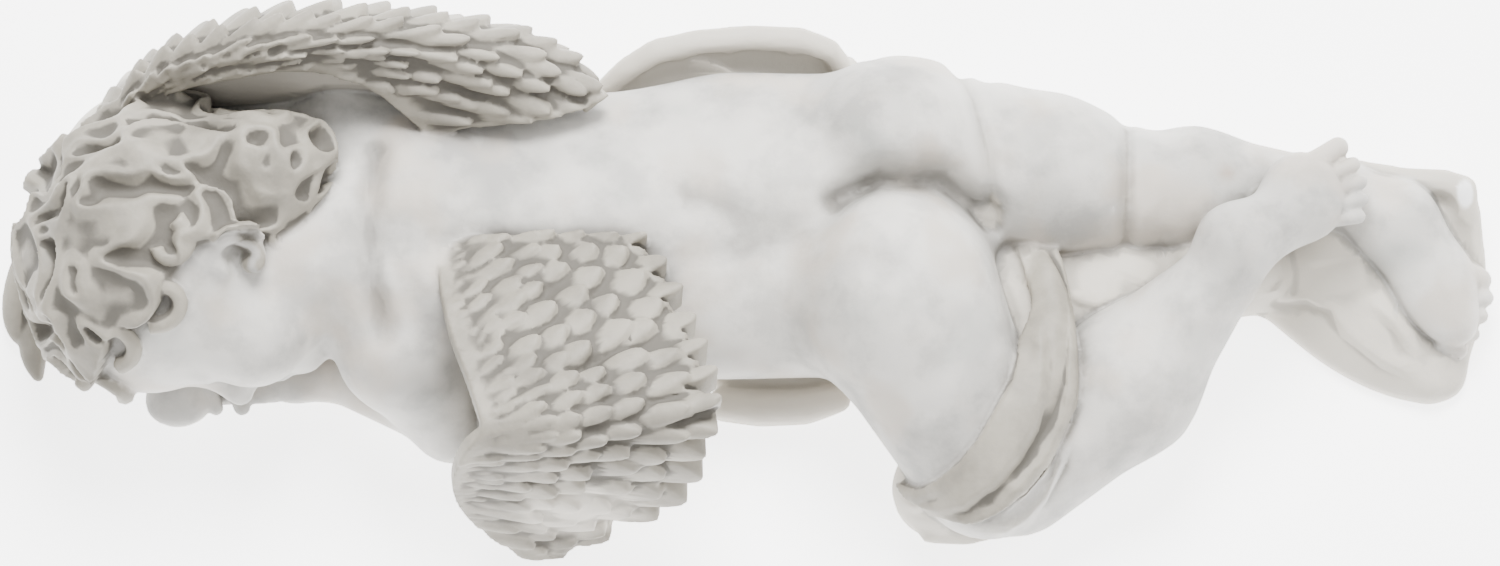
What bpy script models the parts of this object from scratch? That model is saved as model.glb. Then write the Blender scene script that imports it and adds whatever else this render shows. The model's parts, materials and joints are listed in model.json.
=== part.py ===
"""Sleeping angel: a winged baby asleep on its front, cast in one piece in stone resin with a flat underside.

The pose is set out in plan units, 1490 of them to the figure's length: X runs from the crown to the feet, Y from the
side that the face turns to, to the far side, and Z up from the table. Every place and radius below is in those units,
so the figure keeps its proportions at any LENGTH. The solid is built in metres.
"""

import math
import random

import bmesh
import bpy
import numpy as np
from mathutils import Vector, noise

# Driving dimensions, in metres.
LENGTH = 0.380
FLESH_VOXEL = 0.0014
CARVING_VOXEL = 0.0010
WING_STEP = 4.0
HAIR_FINENESS = 6

PLAN_LENGTH = 1490.0
UNIT = LENGTH / PLAN_LENGTH
MOST_TRIANGLES = 9700
# The share of the triangles that is cut away below the table.
SUNK_SHARE = 0.065
SMOOTHING = 0.3

STONE_COLOUR = (0.69, 0.67, 0.63, 1.0)
STONE_ROUGHNESS = 0.62
SHARP_ANGLE = 35

TINY = 1e-9
FAR_OFF = 1e6
BALL_FINE, BALL_COARSE = (24, 16), (20, 12)
MELT_ROUNDS, MELT_STEPS, MELT_REACH = 2, 4, 12.0

# The flesh is round masses, (centre, radii, turn about Z in degrees, fillet), and limbs, ((x, y, z, radius) at each
# end, fillet). A group's shapes melt into each other by their fillets, and into the other groups by the group's own.
TRUNK = {
    "join": 6,
    "masses": {
        "pelvis": ((112, 38, 100), (138, 152, 98), 0, 0),
        "waist": ((-15, 38, 98), (158, 156, 93), 0, 55),
        "ribs": ((-185, 26, 100), (180, 146, 96), -4, 60),
        "upper_back": ((-335, 22, 122), (95, 120, 80), -12, 60),
        "near_buttock": ((146, -38, 150), (93, 106, 112), 8, 22),
        "far_buttock": ((144, 118, 134), (92, 84, 96), 0, 18),
    },
    "limbs": {
        "neck": ((-385, 14, 132, 88), (-470, 5, 146, 84), 40),
        "far_shoulder": ((-345, 80, 130, 66), (-405, 132, 124, 62), 45),
        "near_shoulder": ((-335, -40, 130, 74), (-342, -91, 126, 71), 35),
        "far_thigh": ((180, 112, 112, 84), (300, 90, 95, 80), 22),
        "far_knee": ((300, 90, 95, 80), (368, 80, 80, 68), 14),
        "near_thigh": ((150, -52, 150, 97), (238, -205, 88, 74), 26),
    },
}
FAR_LEG = {
    "join": 9,
    "masses": {
        "sole": ((688, -14, 44), (66, 37, 32), -61, 14),
    },
    "limbs": {
        "calf_top": ((384, 78, 72, 57), (446, 79, 68, 62), 0),
        "calf": ((446, 79, 68, 62), (596, 76, 48, 36), 20),
        "heel": ((596, 76, 48, 34), (650, 48, 58, 42), 14),
        "instep": ((650, 48, 52, 40), (690, -4, 40, 38), 20),
    },
}
NEAR_LEG = {
    "join": 5,
    "masses": {
        "ball": ((552, 62, 134), (42, 44, 27), 24, 16),
    },
    "limbs": {
        "knee": ((264, -203, 65, 69), (376, -121, 88, 71), 0),
        "calf": ((376, -121, 88, 71), (470, -22, 136, 38), 24),
        "heel": ((470, -22, 138, 36), (484, 8, 156, 38), 12),
        "instep": ((484, 8, 152, 36), (552, 48, 136, 32), 18),
    },
}
NEAR_ARM = {
    "join": 6,
    "masses": {
        "hand": ((-452, -98, 24), (44, 30, 20), 12, 12),
    },
    "limbs": {
        "upper": ((-342, -91, 122, 69), (-296, -150, 60, 47), 0),
        "forearm": ((-298, -146, 40, 38), (-415, -100, 28, 27), 16),
    },
}
FAR_ARM = {
    "join": 6,
    "masses": {
        "hand": ((-572, -122, 24), (38, 30, 20), 20, 12),
    },
    "limbs": {
        "upper": ((-405, 132, 120, 60), (-535, 152, 70, 45), 0),
        "forearm": ((-535, 150, 55, 42), (-575, -40, 34, 34), 20),
        "wrist": ((-575, -40, 34, 32), (-575, -110, 26, 25), 14),
    },
}

# Drapery: each fold is a line of (x, y, z, radius); the folds melt into each other and into the sheets under them.
FOLD_FILLET = 7
SHEET_FILLET = 12
FOLDS = {
    "drape_hem": ((180, -247, 20, 26), (215, -247, 20, 28), (255, -238, 20, 26), (278, -221, 22, 22)),
    "drape_start": ((228, 46, 98, 9), (259, 39, 104, 10), (290, 24, 106, 11)),
    "foot_far": ((600, 108, 44, 12), (660, 94, 52, 14), (700, 92, 52, 14), (718, 85, 48, 16), (722, 67, 44, 13)),
    "foot_right": ((724, 62, 34, 14), (728, 23, 26, 14), (731, -22, 22, 14), (722, -65, 20, 13), (700, -89, 18, 12)),
    "foot_fold_1": ((506, -19, 28, 13), (561, -23, 28, 14), (597, -57, 26, 15), (648, -90, 22, 15), (684, -109, 16, 14)),
    "foot_fold_2": ((540, 1, 30, 12), (585, -27, 30, 13), (633, -63, 24, 14), (675, -101, 16, 12)),
    "foot_fold_3": ((633, -36, 28, 12), (660, -63, 24, 13), (690, -85, 18, 12)),
    "foot_fold_4": ((500, 7, 40, 13), (570, -2, 35, 14), (620, -24, 30, 14)),
    "waist_rim": ((-148, 187, 60, 10), (-125, 203, 80, 12), (-95, 218, 95, 13), (-50, 227, 100, 13), (1, 231, 100, 13),
                  (50, 230, 95, 13), (80, 222, 85, 12), (94, 209, 70, 10)),
    "waist_inner": ((-145, 183, 50, 9), (-110, 200, 60, 10), (-60, 206, 65, 11), (-25, 197, 60, 9), (-8, 190, 55, 8)),
    "waist_hang_1": ((-120, 202, 64, 10), (-130, 214, 0, 15)),
    "waist_hang_2": ((-72, 222, 84, 12), (-84, 234, 0, 20)),
    "waist_hang_3": ((-22, 228, 84, 12), (-14, 241, 0, 21)),
    "waist_hang_4": ((40, 228, 80, 12), (50, 238, 0, 20)),
    "waist_hang_5": ((84, 212, 60, 10), (100, 220, 0, 16)),
    "waist_near": ((-28, -128, 20, 16), (10, -132, 22, 18), (55, -130, 22, 18), (88, -124, 25, 15)),
}
SHEETS = {
    "between_feet": ((575, 24, 8), (84, 62, 62), -20),
    "foot_ground": ((612, -40, 0), (134, 58, 42), -34),
    "foot_valley": ((626, -32, 16), (60, 44, 38), -50),
    "foot_ground_far": ((668, 50, 0), (68, 62, 54), 0),
    "foot_ground_right": ((688, -8, 0), (50, 104, 30), 8),
    "under_ankle": ((475, 6, 40), (70, 44, 72), -10),
    "waist_ground": ((-25, 196, 0), (118, 48, 72), 2),
    "waist_near_ground": ((32, -58, 0), (98, 80, 34), 0),
    "between_ground": ((345, -18, 36), (140, 92, 66), -15),
    "drape_ground": ((222, -205, 30), (82, 60, 70), 20),
    "drape_pit": ((262, -40, 60), (78, 96, 62), 0),
    "drape_root": ((242, 54, 92), (58, 44, 50), -8),
    "foot_ground_inner": ((575, -8, 0), (96, 52, 40), -24),
    "under_head": ((-560, 0, 10), (120, 100, 60), 0),
    "under_chest": ((-360, 20, 20), (130, 150, 60), 0),
    "under_near_wing": ((-178, -150, 90), (92, 112, 104), 0),
    "under_far_wing": ((-400, 190, 100), (222, 46, 112), 0),
    "under_wing_tip": ((-640, 96, 30), (66, 96, 76), -20),
}
# Broad bands of cloth: (crown, hollow, inner edge, outer edge). The outer edge stands clear and the hollow runs
# beside it.
BANDS = {
    "drape_top": (
        8, 9,
        ((236, 46, 104), (262, 16, 116), (282, -36, 140), (277, -73, 155), (270, -97, 160), (259, -137, 178),
         (245, -164, 185), (227, -196, 180), (208, -217, 168), (189, -231, 148), (165, -234, 115), (143, -222, 80)),
        ((268, 50, 106), (306, 12, 124), (322, -50, 136), (326, -100, 160), (326, -149, 166), (318, -173, 163),
         (308, -193, 160), (292, -220, 158), (271, -245, 157), (246, -264, 150), (212, -273, 133), (176, -257, 109)),
    ),
    "waist_outer": (
        -6, 0,
        ((-150, 168, 40), (-125, 172, 46), (-95, 174, 50), (-50, 172, 50), (1, 172, 50), (50, 178, 50), (80, 184, 48),
         (98, 190, 44)),
        ((-148, 187, 66), (-125, 203, 84), (-95, 219, 98), (-50, 229, 104), (1, 233, 104), (50, 232, 99),
         (82, 224, 88), (98, 208, 72)),
    ),
    "waist_inner": (
        -4, 0,
        ((-150, 164, 50), (-110, 168, 56), (-60, 168, 58), (-20, 170, 56), (0, 178, 54)),
        ((-146, 184, 72), (-110, 206, 82), (-60, 212, 86), (-25, 204, 78), (-4, 190, 62)),
    ),
}
BAND_THICKNESS = 12.0
BAND_GRID = (44, 12)
HOLLOW_PLACE, HOLLOW_WIDTH = 0.74, 0.15
# Edges where cloth lies over cloth, seen in plan: (height, width, ceiling, line). It rises to the line from the
# left of the way along it and drops on the right. Nothing above the ceiling is moved.
EDGES = {
    "drape_crest": (
        9, 26, 400,
        ((246, -262), (271, -243), (292, -218), (306, -192), (316, -172), (322, -148), (324, -102), (320, -60),
         (312, -30), (294, 8)),
    ),
    "drape_second": (
        8, 17, 400,
        ((198, -280), (222, -284), (252, -280), (276, -266), (294, -245), (305, -224), (313, -208), (319, -188)),
    ),
    "drape_inner": (
        6, 18, 400,
        ((262, -60), (266, -95), (259, -137), (245, -164), (227, -196), (208, -217), (189, -229), (168, -236)),
    ),
    "drape_middle": (
        6, 15, 400,
        ((186, -262), (214, -258), (240, -240), (262, -214), (280, -184), (290, -150), (294, -110), (292, -70)),
    ),
    "drape_small": (6, 12, 400, ((142, -236), (166, -246), (187, -244), (206, -238))),
    "pit_edge": (5, 16, 150, ((262, -100), (264, -76), (254, -42), (238, -12))),
    "between_small": (5, 14, 125, ((308, -26), (330, -42), (348, -46), (372, -30))),
    "between_upper": (4, 12, 125, ((364, -6), (385, -18), (406, -26))),
    "foot_main": (8, 15, 75, ((506, -24), (535, -27), (561, -28), (583, -39), (597, -62), (633, -90), (669, -108))),
    "foot_upper": (6, 12, 75, ((551, 3), (599, 9), (615, 12))),
    "foot_lower": (7, 12, 75, ((618, -30), (645, -55), (669, -87))),
}
EDGE_ENDS = 24.0
EDGE_DROP = 0.45
EDGE_SLOPE = 9.0
EDGE_REACH = 60.0
EDGE_FOOT = 0.6
EDGE_STEEP = 0.5
# How many pleats the broad folds have, and a pleat's radius as a share of its fold's.
PLEATS = {"drape_hem": 2}
PLEAT_SHARE = 0.40
# Below this height the outline of whatever touches the table runs straight down to it.
FOOTPRINT = 14.0

# Toes and fingers: (base, tip, radius at the base, radius at the tip).
FAR_TOES = (
    ((716, 2, 42), (735, -5, 37), 14, 12),
    ((720, -19, 40), (740, -23, 36), 10, 9),
    ((716, -36, 38), (735, -41, 34), 9.5, 8.5),
    ((708, -52, 36), (727, -59, 31), 9, 8),
    ((698, -67, 34), (715, -76, 29), 8.5, 7.5),
)
NEAR_TOES = (
    ((566, 94, 136), (588, 110, 133), 13, 11),
    ((586, 84, 136), (603, 93, 133), 8.5, 7.8),
    ((592, 68, 136), (610, 75, 133), 8.2, 7.5),
    ((592, 52, 135), (611, 57, 132), 8, 7.2),
    ((588, 37, 134), (608, 40, 131), 8, 7.2),
)
FINGERS = (
    ((-560, -116, 26), (-522, -98, 26), 11, 9),
    ((-556, -126, 25), (-514, -114, 24), 12, 9),
    ((-552, -135, 23), (-508, -128, 21), 12, 9),
    ((-550, -142, 20), (-512, -140, 19), 11, 9),
    ((-480, -104, 26), (-520, -110, 30), 12, 9),
    ((-478, -116, 23), (-516, -122, 26), 12, 9),
)

# The head has its own axes: its left side faces up, and its face looks down towards the table.
HEAD_CENTRE = Vector((-562, -2, 150))
FACE_DIP = math.radians(25)
CROWN_LIFT = math.radians(4)
HEAD_MASSES = {
    "cranium": ((0, -6, 24), (114, 134, 128), 0),
    "brow": ((0, 46, 38), (84, 92, 80), 30),
    "jaw": ((0, 36, -66), (86, 82, 82), 35),
    "near_cheek": ((54, 68, -66), (50, 54, 56), 22),
    "far_cheek": ((-54, 68, -66), (50, 54, 56), 22),
    "under_chin": ((0, 44, -112), (62, 54, 40), 24),
    "chin": ((0, 98, -118), (28, 22, 22), 22),
    "near_lid": ((38, 104, -20), (27, 20, 19), 7),
    "far_lid": ((-38, 104, -20), (27, 20, 19), 7),
}
HEAD_LIMBS = {
    "nose_bridge": ((0, 118, -6, 11), (0, 138, -52, 12), 16),
    "nose_tip": ((0, 138, -54, 14), (0, 141, -57, 14), 7),
    "near_nostril": ((11, 131, -61, 8), (14, 128, -61, 8), 5),
    "far_nostril": ((-11, 131, -61, 8), (-14, 128, -61, 8), 5),
    "upper_lip_near": ((1, 127, -84, 7), (22, 117, -89, 4), 6),
    "upper_lip_far": ((-1, 127, -84, 7), (-22, 117, -89, 4), 6),
    "lower_lip": ((-12, 121, -98, 7), (12, 121, -98, 7), 6),
}
# The left ear: its rim is an arc round a hollow, open towards the cheek, with a lobe at its lower end.
EAR_CENTRE = (96, -24, -50)
EAR_HEIGHT, EAR_DEPTH, EAR_RIM = 27, 19, 7.5
EAR_LIFT, EAR_FLARE = 8.0, 4.0
EAR_START, EAR_SWEEP = math.radians(-60), math.radians(270)
EAR_LOBE = 10
EAR_STEPS = 9
EAR_FILLET, LOBE_FILLET = 5.0, 6.0
# Fine lines cut into the face, as limbs: the closed eyes and the mouth.
CUTS = (
    ((16, 121, -27, 2.2), (38, 126, -33, 2.6), (60, 110, -27, 2.2)),
    ((-16, 121, -27, 2.2), (-38, 126, -33, 2.6), (-60, 110, -27, 2.2)),
    ((-20, 122, -92, 2.0), (0, 130, -91.5, 2.4), (20, 122, -92, 2.0)),
)
CUT_FILLET = 4.0
HEAD_FILLET = 16.0
DIGIT_FILLET = 3.0

# Dents in the flesh, (points, width, depth), measured in plan on what lies above DENT_FLOOR.
DENTS = (
    (((-400, 5), (-250, -2), (-120, -6), (20, 4), (70, 24)), 26, 9),
    (((84, 44), (130, 66), (190, 66), (236, 40)), 15, 24),
    (((10, 30), (-60, 44)), 22, 8),
    (((206, 190), (222, 150), (236, 96), (244, 40)), 8, 11),
    (((232, 186), (252, 140), (260, 80)), 10, 5),
    (((378, 150), (377, 90), (376, 30), (376, 0)), 8, 13),
    (((396, 140), (396, 60)), 7, 4),
    (((132, -38), (140, -34)), 20, 6),
    (((-372, 90), (-378, 30), (-374, -40), (-360, -92)), 13, 13),
    (((-345, -20), (-322, -70), (-300, -120)), 16, 8),
    (((150, 176), (126, 186)), 12, 5),
    (((466, 48), (492, -22)), 6, 6),
)
DENT_FLOOR = 70.0
DENT_FADE = 40.0

# A wing is a curved sheet. Each row below runs along its span, from the back to the tip, as (x, y, z).
NEAR_WING = {"outside": 1, "lines": (
    (
        (-303, 8, 196), (-308, -30, 214), (-296, -94, 248), (-274, -162, 276), (-264, -208, 284),
        (-284, -234, 246), (-294, -249, 165), (-278, -264, 80), (-230, -275, 16),
    ),
    (
        (-102, 4, 194), (-72, -42, 206), (-50, -98, 230), (-32, -146, 256), (-28, -186, 266),
        (-42, -212, 226), (-54, -230, 138), (-104, -250, 56), (-194, -276, 12),
    ),
)}
FAR_WING = {"outside": -1, "lines": (
    (
        (-318, 104, 196), (-348, 124, 224), (-376, 140, 248), (-412, 150, 262), (-460, 152, 268),
        (-512, 146, 262), (-562, 142, 236), (-618, 134, 180), (-670, 92, 100), (-698, 30, 46), (-706, -40, 22),
    ),
    (
        (-166, 140, 190), (-194, 170, 216), (-242, 192, 240), (-306, 204, 258), (-374, 210, 268),
        (-446, 211, 271), (-516, 200, 260), (-582, 178, 226), (-648, 128, 144), (-704, 58, 70), (-722, -30, 24),
    ),
    (
        (-170, 144, 176), (-204, 184, 146), (-254, 218, 100), (-322, 238, 58), (-396, 246, 34),
        (-466, 245, 24), (-542, 230, 20), (-614, 194, 18), (-672, 148, 14), (-716, 78, 12), (-728, -10, 8),
    ),
)}
# The rows of feathers, from the front edge back: (place of the tips across the wing, length, half width).
NEAR_ROWS = (
    (0.08, 34, 7), (0.17, 44, 10), (0.28, 58, 13), (0.41, 68, 16), (0.55, 78, 18), (0.70, 86, 18), (0.85, 96, 19),
    (1.00, 104, 20),
)
FAR_ROWS = (
    (0.07, 34, 7), (0.14, 44, 10), (0.22, 58, 13), (0.31, 68, 16), (0.41, 78, 18), (0.52, 88, 20), (0.63, 96, 21),
    (0.75, 104, 22), (0.87, 112, 23), (1.00, 118, 24),
)
FEATHER_SPACING = 1.75
FEATHER_SEED = 11
FEATHER_STRAY = 0.14
FEATHER_RAG = 8.0
FEATHER_LENGTHS, FEATHER_WIDTHS = (0.92, 1.10), (0.92, 1.14)
FEATHER_WAIST = 0.14
FEATHER_FULL = 16.0
WING_SHORTEST = 0.8
MEASURE_STEPS = 25
SLOPE_STEP = 0.01
FEATHER_RISE = 21.0
FEATHER_SINK = 9.0
FEATHER_CURL = 2.2
FEATHER_CAMBER = 6.0
FEATHER_TILT = 2.2
FEATHER_RIM = 5.0
FEATHER_POINT = 0.55
FEATHER_THICKNESS = 12.0
WING_THICKNESS = 20.0
# The two long flight feathers that come out past the crown: centreline points with half widths.
FLIGHT_FEATHERS = (
    ((-716, 60, 40, 12), (-734, 0, 26, 17), (-740, -40, 18, 14), (-736, -66, 12, 6)),
    ((-704, 30, 34, 12), (-718, -30, 24, 17), (-722, -74, 16, 15), (-716, -104, 10, 6)),
)
FLIGHT_FACE = (-0.5, 0.2, 0.84)
FLIGHT_BLUNT = 0.8

# Hair: wavy locks over the skull with bare hollows between them, and curls along the hairline.
HAIR_CELL = (33.0, 37.0, 42.0)
HAIR_WIND = 0.75
HAIR_WIND_CELL = 0.7
HAIR_CREST = 0.17
HAIR_BASE = 3.0
HAIR_RELIEF = 19.0
HAIR_EDGE = 0.07
HAIR_RAG = 0.16
HAIR_SUNK = 12.0
# Hair that lies over the nape, as a mass in head axes: centre, radii, fillet.
NAPE_HAIR = ((42, -94, -74), (54, 50, 58), 40)
CURL_POINTS = 11
CURL_LIFT = 6.0
CURL_OPEN, CURL_CLOSED = 1.25, 0.5
CURL_TAPER = 0.3
NAPE_UP, NAPE_SLOPE = 1.0, 0.2
# The scalp is found by walking in from this far out, in steps of this share of what is left.
SCALP_START, SCALP_PACE, SCALP_STEPS = 230.0, 0.9, 18
SKULL_RADIUS = 130.0
# The hairline on the side of the face: for a share of the way up the head, how far forward the hair comes.
HAIRLINE_UP = (-0.86, -0.3, 0.0, 0.25, 0.53, 0.62)
HAIRLINE_FORWARD = (-0.24, -0.38, -0.20, 0.24, 0.46, 1.6)
# Curls: (middle as a head-axes direction, radius, start angle and turn in degrees, thickness).
CURLS = (
    ((0.86, 0.16, 0.20), 24, 200, -250, 10.0),
    ((0.66, 0.50, 0.52), 22, 160, -240, 9.5),
    ((0.20, 0.84, 0.56), 22, 120, -240, 9.5),
    ((0.88, -0.30, -0.04), 20, 20, 230, 9.0),
    ((-0.50, 0.62, 0.62), 20, 120, 240, 9.0),
    ((0.34, -0.52, -0.78), 24, 20, 250, 9.0),
    ((0.56, -0.36, -0.74), 22, 60, 250, 9.0),
)


def clear_scene():
    for obj in list(bpy.data.objects):
        bpy.data.objects.remove(obj)


def unit(vector):
    vector = np.asarray(vector, float)
    return vector / np.linalg.norm(vector)


def head_axes():
    """The head's left, forward and up directions, one to a row."""
    up = np.array([-math.cos(CROWN_LIFT), 0.0, math.sin(CROWN_LIFT)])
    forward = np.array([0.0, -math.cos(FACE_DIP), -math.sin(FACE_DIP)])
    forward = unit(forward - up * (forward @ up))
    return np.array([np.cross(up, forward), forward, up])


HEAD_AXES = head_axes()


def smooth_min(a, b, fillet):
    """The smaller of two distances, with a fillet of this size where they meet."""
    if fillet <= 0:
        return np.minimum(a, b)
    h = np.maximum(fillet - np.abs(a - b), 0) / fillet
    return np.minimum(a, b) - h * h * fillet / 4


def mass_distance(points, centre, radii, turn):
    """How far points lie outside a round mass that is turned about Z."""
    local = points - np.array(centre, float)
    if turn:
        c, s = math.cos(math.radians(turn)), math.sin(math.radians(turn))
        x = local[:, 0] * c + local[:, 1] * s
        y = local[:, 1] * c - local[:, 0] * s
        local = np.stack([x, y, local[:, 2]], axis=1)
    radii = np.array(radii, float)
    near = np.linalg.norm(local / radii, axis=1)
    slope = np.linalg.norm(local / radii**2, axis=1)
    return near * (near - 1) / np.maximum(slope, TINY)


def limb_distance(points, start, end):
    """How far points lie outside a tapered limb with round ends."""
    a, b = np.array(start[:3], float), np.array(end[:3], float)
    along = b - a
    t = np.clip((points - a) @ along / max(along @ along, TINY), 0, 1)
    return np.linalg.norm(points - a - t[:, None] * along, axis=1) - (start[3] + (end[3] - start[3]) * t)


def group_distance(points, group):
    found = None
    for centre, radii, turn, fillet in group["masses"].values():
        d = mass_distance(points, centre, radii, turn)
        found = d if found is None else smooth_min(found, d, fillet)
    for start, end, fillet in group["limbs"].values():
        d = limb_distance(points, start, end)
        found = smooth_min(found, d, fillet)
    return found


def digits_distance(points, digits):
    found = np.full(len(points), FAR_OFF)
    for base, tip, thick, thin in digits:
        found = smooth_min(found, limb_distance(points, (*base, thick), (*tip, thin)), DIGIT_FILLET)
    return found


def ear_rim(share):
    """A point on the ear's rim, with the rim's radius, for a share of the way from its front root to its lobe."""
    angle = EAR_START + EAR_SWEEP * share
    side, forward, up = EAR_CENTRE
    return (
        side + EAR_LIFT - EAR_FLARE * math.cos(angle),
        forward - EAR_DEPTH * math.sin(angle),
        up + EAR_HEIGHT * math.cos(angle),
        EAR_RIM,
    )


def head_distance(points):
    local = (points - np.array(HEAD_CENTRE)) @ HEAD_AXES.T
    found = None
    for centre, radii, fillet in HEAD_MASSES.values():
        d = mass_distance(local, centre, radii, 0)
        found = d if found is None else smooth_min(found, d, fillet)
    for start, end, fillet in HEAD_LIMBS.values():
        found = smooth_min(found, limb_distance(local, start, end), fillet)
    rim = [ear_rim(share) for share in np.linspace(0, 1, round(EAR_STEPS) + 1)]
    for start, end in zip(rim, rim[1:]):
        found = smooth_min(found, limb_distance(local, start, end), EAR_FILLET)
    lobe = (*rim[-1][:3], EAR_LOBE)
    found = smooth_min(found, limb_distance(local, lobe, lobe), LOBE_FILLET)
    for line in CUTS:
        for start, end in zip(line, line[1:]):
            found = -smooth_min(-found, limb_distance(local, start, end), CUT_FILLET)
    return found


def polyline_distance(points, line):
    found = np.full(len(points), FAR_OFF)
    for a, b in zip(line, line[1:]):
        a, b = np.array(a, float), np.array(b, float)
        along = b - a
        t = np.clip((points - a) @ along / max(along @ along, TINY), 0, 1)
        found = np.minimum(found, np.linalg.norm(points - a - t[:, None] * along, axis=1))
    return found


def dent_share(points, line, width):
    """How far, from 0 to 1, points lie in a dent, on the upper side of the figure."""
    above = np.clip((points[:, 2] - DENT_FLOOR) / DENT_FADE, 0, 1)
    return above * np.exp(-((polyline_distance(points[:, :2], line) / width) ** 2))


def on_footprint(points):
    """Points below the footprint's height are measured as if they lay at it, so its outline runs straight down."""
    raised = points.copy()
    raised[:, 2] = np.maximum(raised[:, 2], FOOTPRINT)
    return raised


def fold_lines():
    """Every fold's line, the pleated ones as several thinner lines side by side."""
    lines = []
    for name, line in FOLDS.items():
        count = round(PLEATS.get(name, 1))
        line = np.array(line, float)
        if count == 1:
            lines.append(line)
            continue
        ahead = np.gradient(line[:, :2], axis=0)
        side = np.stack([-ahead[:, 1], ahead[:, 0]], axis=1) / np.linalg.norm(ahead, axis=1)[:, None]
        for i in range(count):
            offset = (2 * i / (count - 1) - 1) * (1 - PLEAT_SHARE)
            pleat = line.copy()
            pleat[:, :2] += side * (line[:, 3] * offset)[:, None]
            pleat[:, 2] += line[:, 3] * (1 - PLEAT_SHARE) * (1 - abs(offset))
            pleat[:, 3] = line[:, 3] * PLEAT_SHARE
            lines.append(pleat)
    return lines


def cloth_distance(points):
    """How far points, in plan units, lie outside the drapery."""
    points = on_footprint(points)
    found = np.full(len(points), FAR_OFF)
    for centre, radii, turn in SHEETS.values():
        found = smooth_min(found, mass_distance(points, centre, radii, turn), SHEET_FILLET)
    for line in fold_lines():
        fold = np.full(len(points), FAR_OFF)
        for start, end in zip(line, line[1:]):
            fold = np.minimum(fold, limb_distance(points, start, end))
        found = smooth_min(found, fold, FOLD_FILLET)
    return found


def flesh_distance(points):
    """How far points, in plan units, lie outside the flesh."""
    points = on_footprint(points)
    found = group_distance(points, TRUNK)
    for line, width, depth in DENTS:
        found = found + depth * dent_share(points, line, width)
    head = head_distance(points)
    found = smooth_min(found, head, HEAD_FILLET)
    for group in (FAR_LEG, NEAR_LEG, NEAR_ARM, FAR_ARM):
        found = smooth_min(found, group_distance(points, group), group["join"])
    return found


def ball_template(segments, rings):
    """A unit ball's points and faces, its poles on the X axis."""
    shape = bmesh.new()
    bmesh.ops.create_uvsphere(shape, u_segments=segments, v_segments=rings, radius=1)
    points = np.array([v.co for v in shape.verts])[:, [2, 0, 1]]
    faces = [[v.index for v in f.verts] for f in shape.faces]
    shape.free()
    return points, faces


class Clay:
    """Closed shapes gathered into one mesh, in plan units."""

    def __init__(self):
        self.points, self.faces, self.count = [], [], 0

    def add(self, points, faces):
        self.points.append(np.asarray(points, float))
        self.faces.extend([[i + self.count for i in face] for face in faces])
        self.count += len(points)

    def add_limb(self, start, end, template):
        """A tapered limb with round ends: each half of a ball goes to one end."""
        ball, faces = template
        a, b = np.array(start[:3], float), np.array(end[:3], float)
        axis = unit(b - a)
        far = (ball @ axis > 0)[:, None]
        self.add(np.where(far, b + ball * end[3], a + ball * start[3]), faces)

    def object(self, name):
        mesh = bpy.data.meshes.new(name)
        mesh.from_pydata((np.concatenate(self.points) * UNIT).tolist(), [], self.faces)
        obj = bpy.data.objects.new(name, mesh)
        bpy.context.scene.collection.objects.link(obj)
        return obj


def evaluated(obj, *modifiers):
    """The object's mesh with these modifiers applied, each as (type, settings)."""
    for kind, settings in modifiers:
        modifier = obj.modifiers.new(kind.title(), kind)
        for key, value in settings.items():
            setattr(modifier, key, value)
    graph = bpy.context.evaluated_depsgraph_get()
    mesh = bpy.data.meshes.new_from_object(obj.evaluated_get(graph))
    old = obj.data
    obj.modifiers.clear()
    obj.data = mesh
    bpy.data.meshes.remove(old)
    return obj


def coordinates(mesh):
    points = np.empty(len(mesh.vertices) * 3)
    mesh.vertices.foreach_get("co", points)
    return points.reshape(-1, 3)


def normals(mesh):
    found = np.empty(len(mesh.vertices) * 3)
    mesh.vertex_normals.foreach_get("vector", found)
    return found.reshape(-1, 3)


def set_coordinates(mesh, points):
    mesh.vertices.foreach_set("co", points.astype(np.float32).ravel())
    mesh.update()


def rough_flesh():
    """Every mass and limb as a ball or capsule of its own, before they melt into each other."""
    clay = Clay()
    template = ball_template(*BALL_FINE)
    for group in (TRUNK, FAR_LEG, NEAR_LEG, NEAR_ARM, FAR_ARM):
        for centre, radii, turn, _ in group["masses"].values():
            c, s = math.cos(math.radians(turn)), math.sin(math.radians(turn))
            ball = template[0] * np.array(radii, float)
            x, y = ball[:, 0] * c - ball[:, 1] * s, ball[:, 0] * s + ball[:, 1] * c
            clay.add(np.stack([x, y, ball[:, 2]], axis=1) + np.array(centre, float), template[1])
        for start, end, _ in group["limbs"].values():
            clay.add_limb(start, end, template)
    centre = np.array(HEAD_CENTRE)
    for middle, radii, _ in HEAD_MASSES.values():
        clay.add((template[0] * np.array(radii, float) + np.array(middle, float)) @ HEAD_AXES + centre, template[1])
    for start, end, _ in HEAD_LIMBS.values():
        a = (*(np.array(start[:3], float) @ HEAD_AXES + centre), start[3])
        b = (*(np.array(end[:3], float) @ HEAD_AXES + centre), end[3])
        clay.add_limb(a, b, template)
    return clay.object("flesh")


def rough_cloth():
    clay = Clay()
    template = ball_template(*BALL_COARSE)
    for centre, radii, turn in SHEETS.values():
        c, s = math.cos(math.radians(turn)), math.sin(math.radians(turn))
        ball = template[0] * np.array(radii, float)
        x, y = ball[:, 0] * c - ball[:, 1] * s, ball[:, 0] * s + ball[:, 1] * c
        clay.add(np.stack([x, y, ball[:, 2]], axis=1) + np.array(centre, float), template[1])
    for line in fold_lines():
        for start, end in zip(line, line[1:]):
            clay.add_limb(start, end, template)
    return clay.object("cloth")


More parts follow.
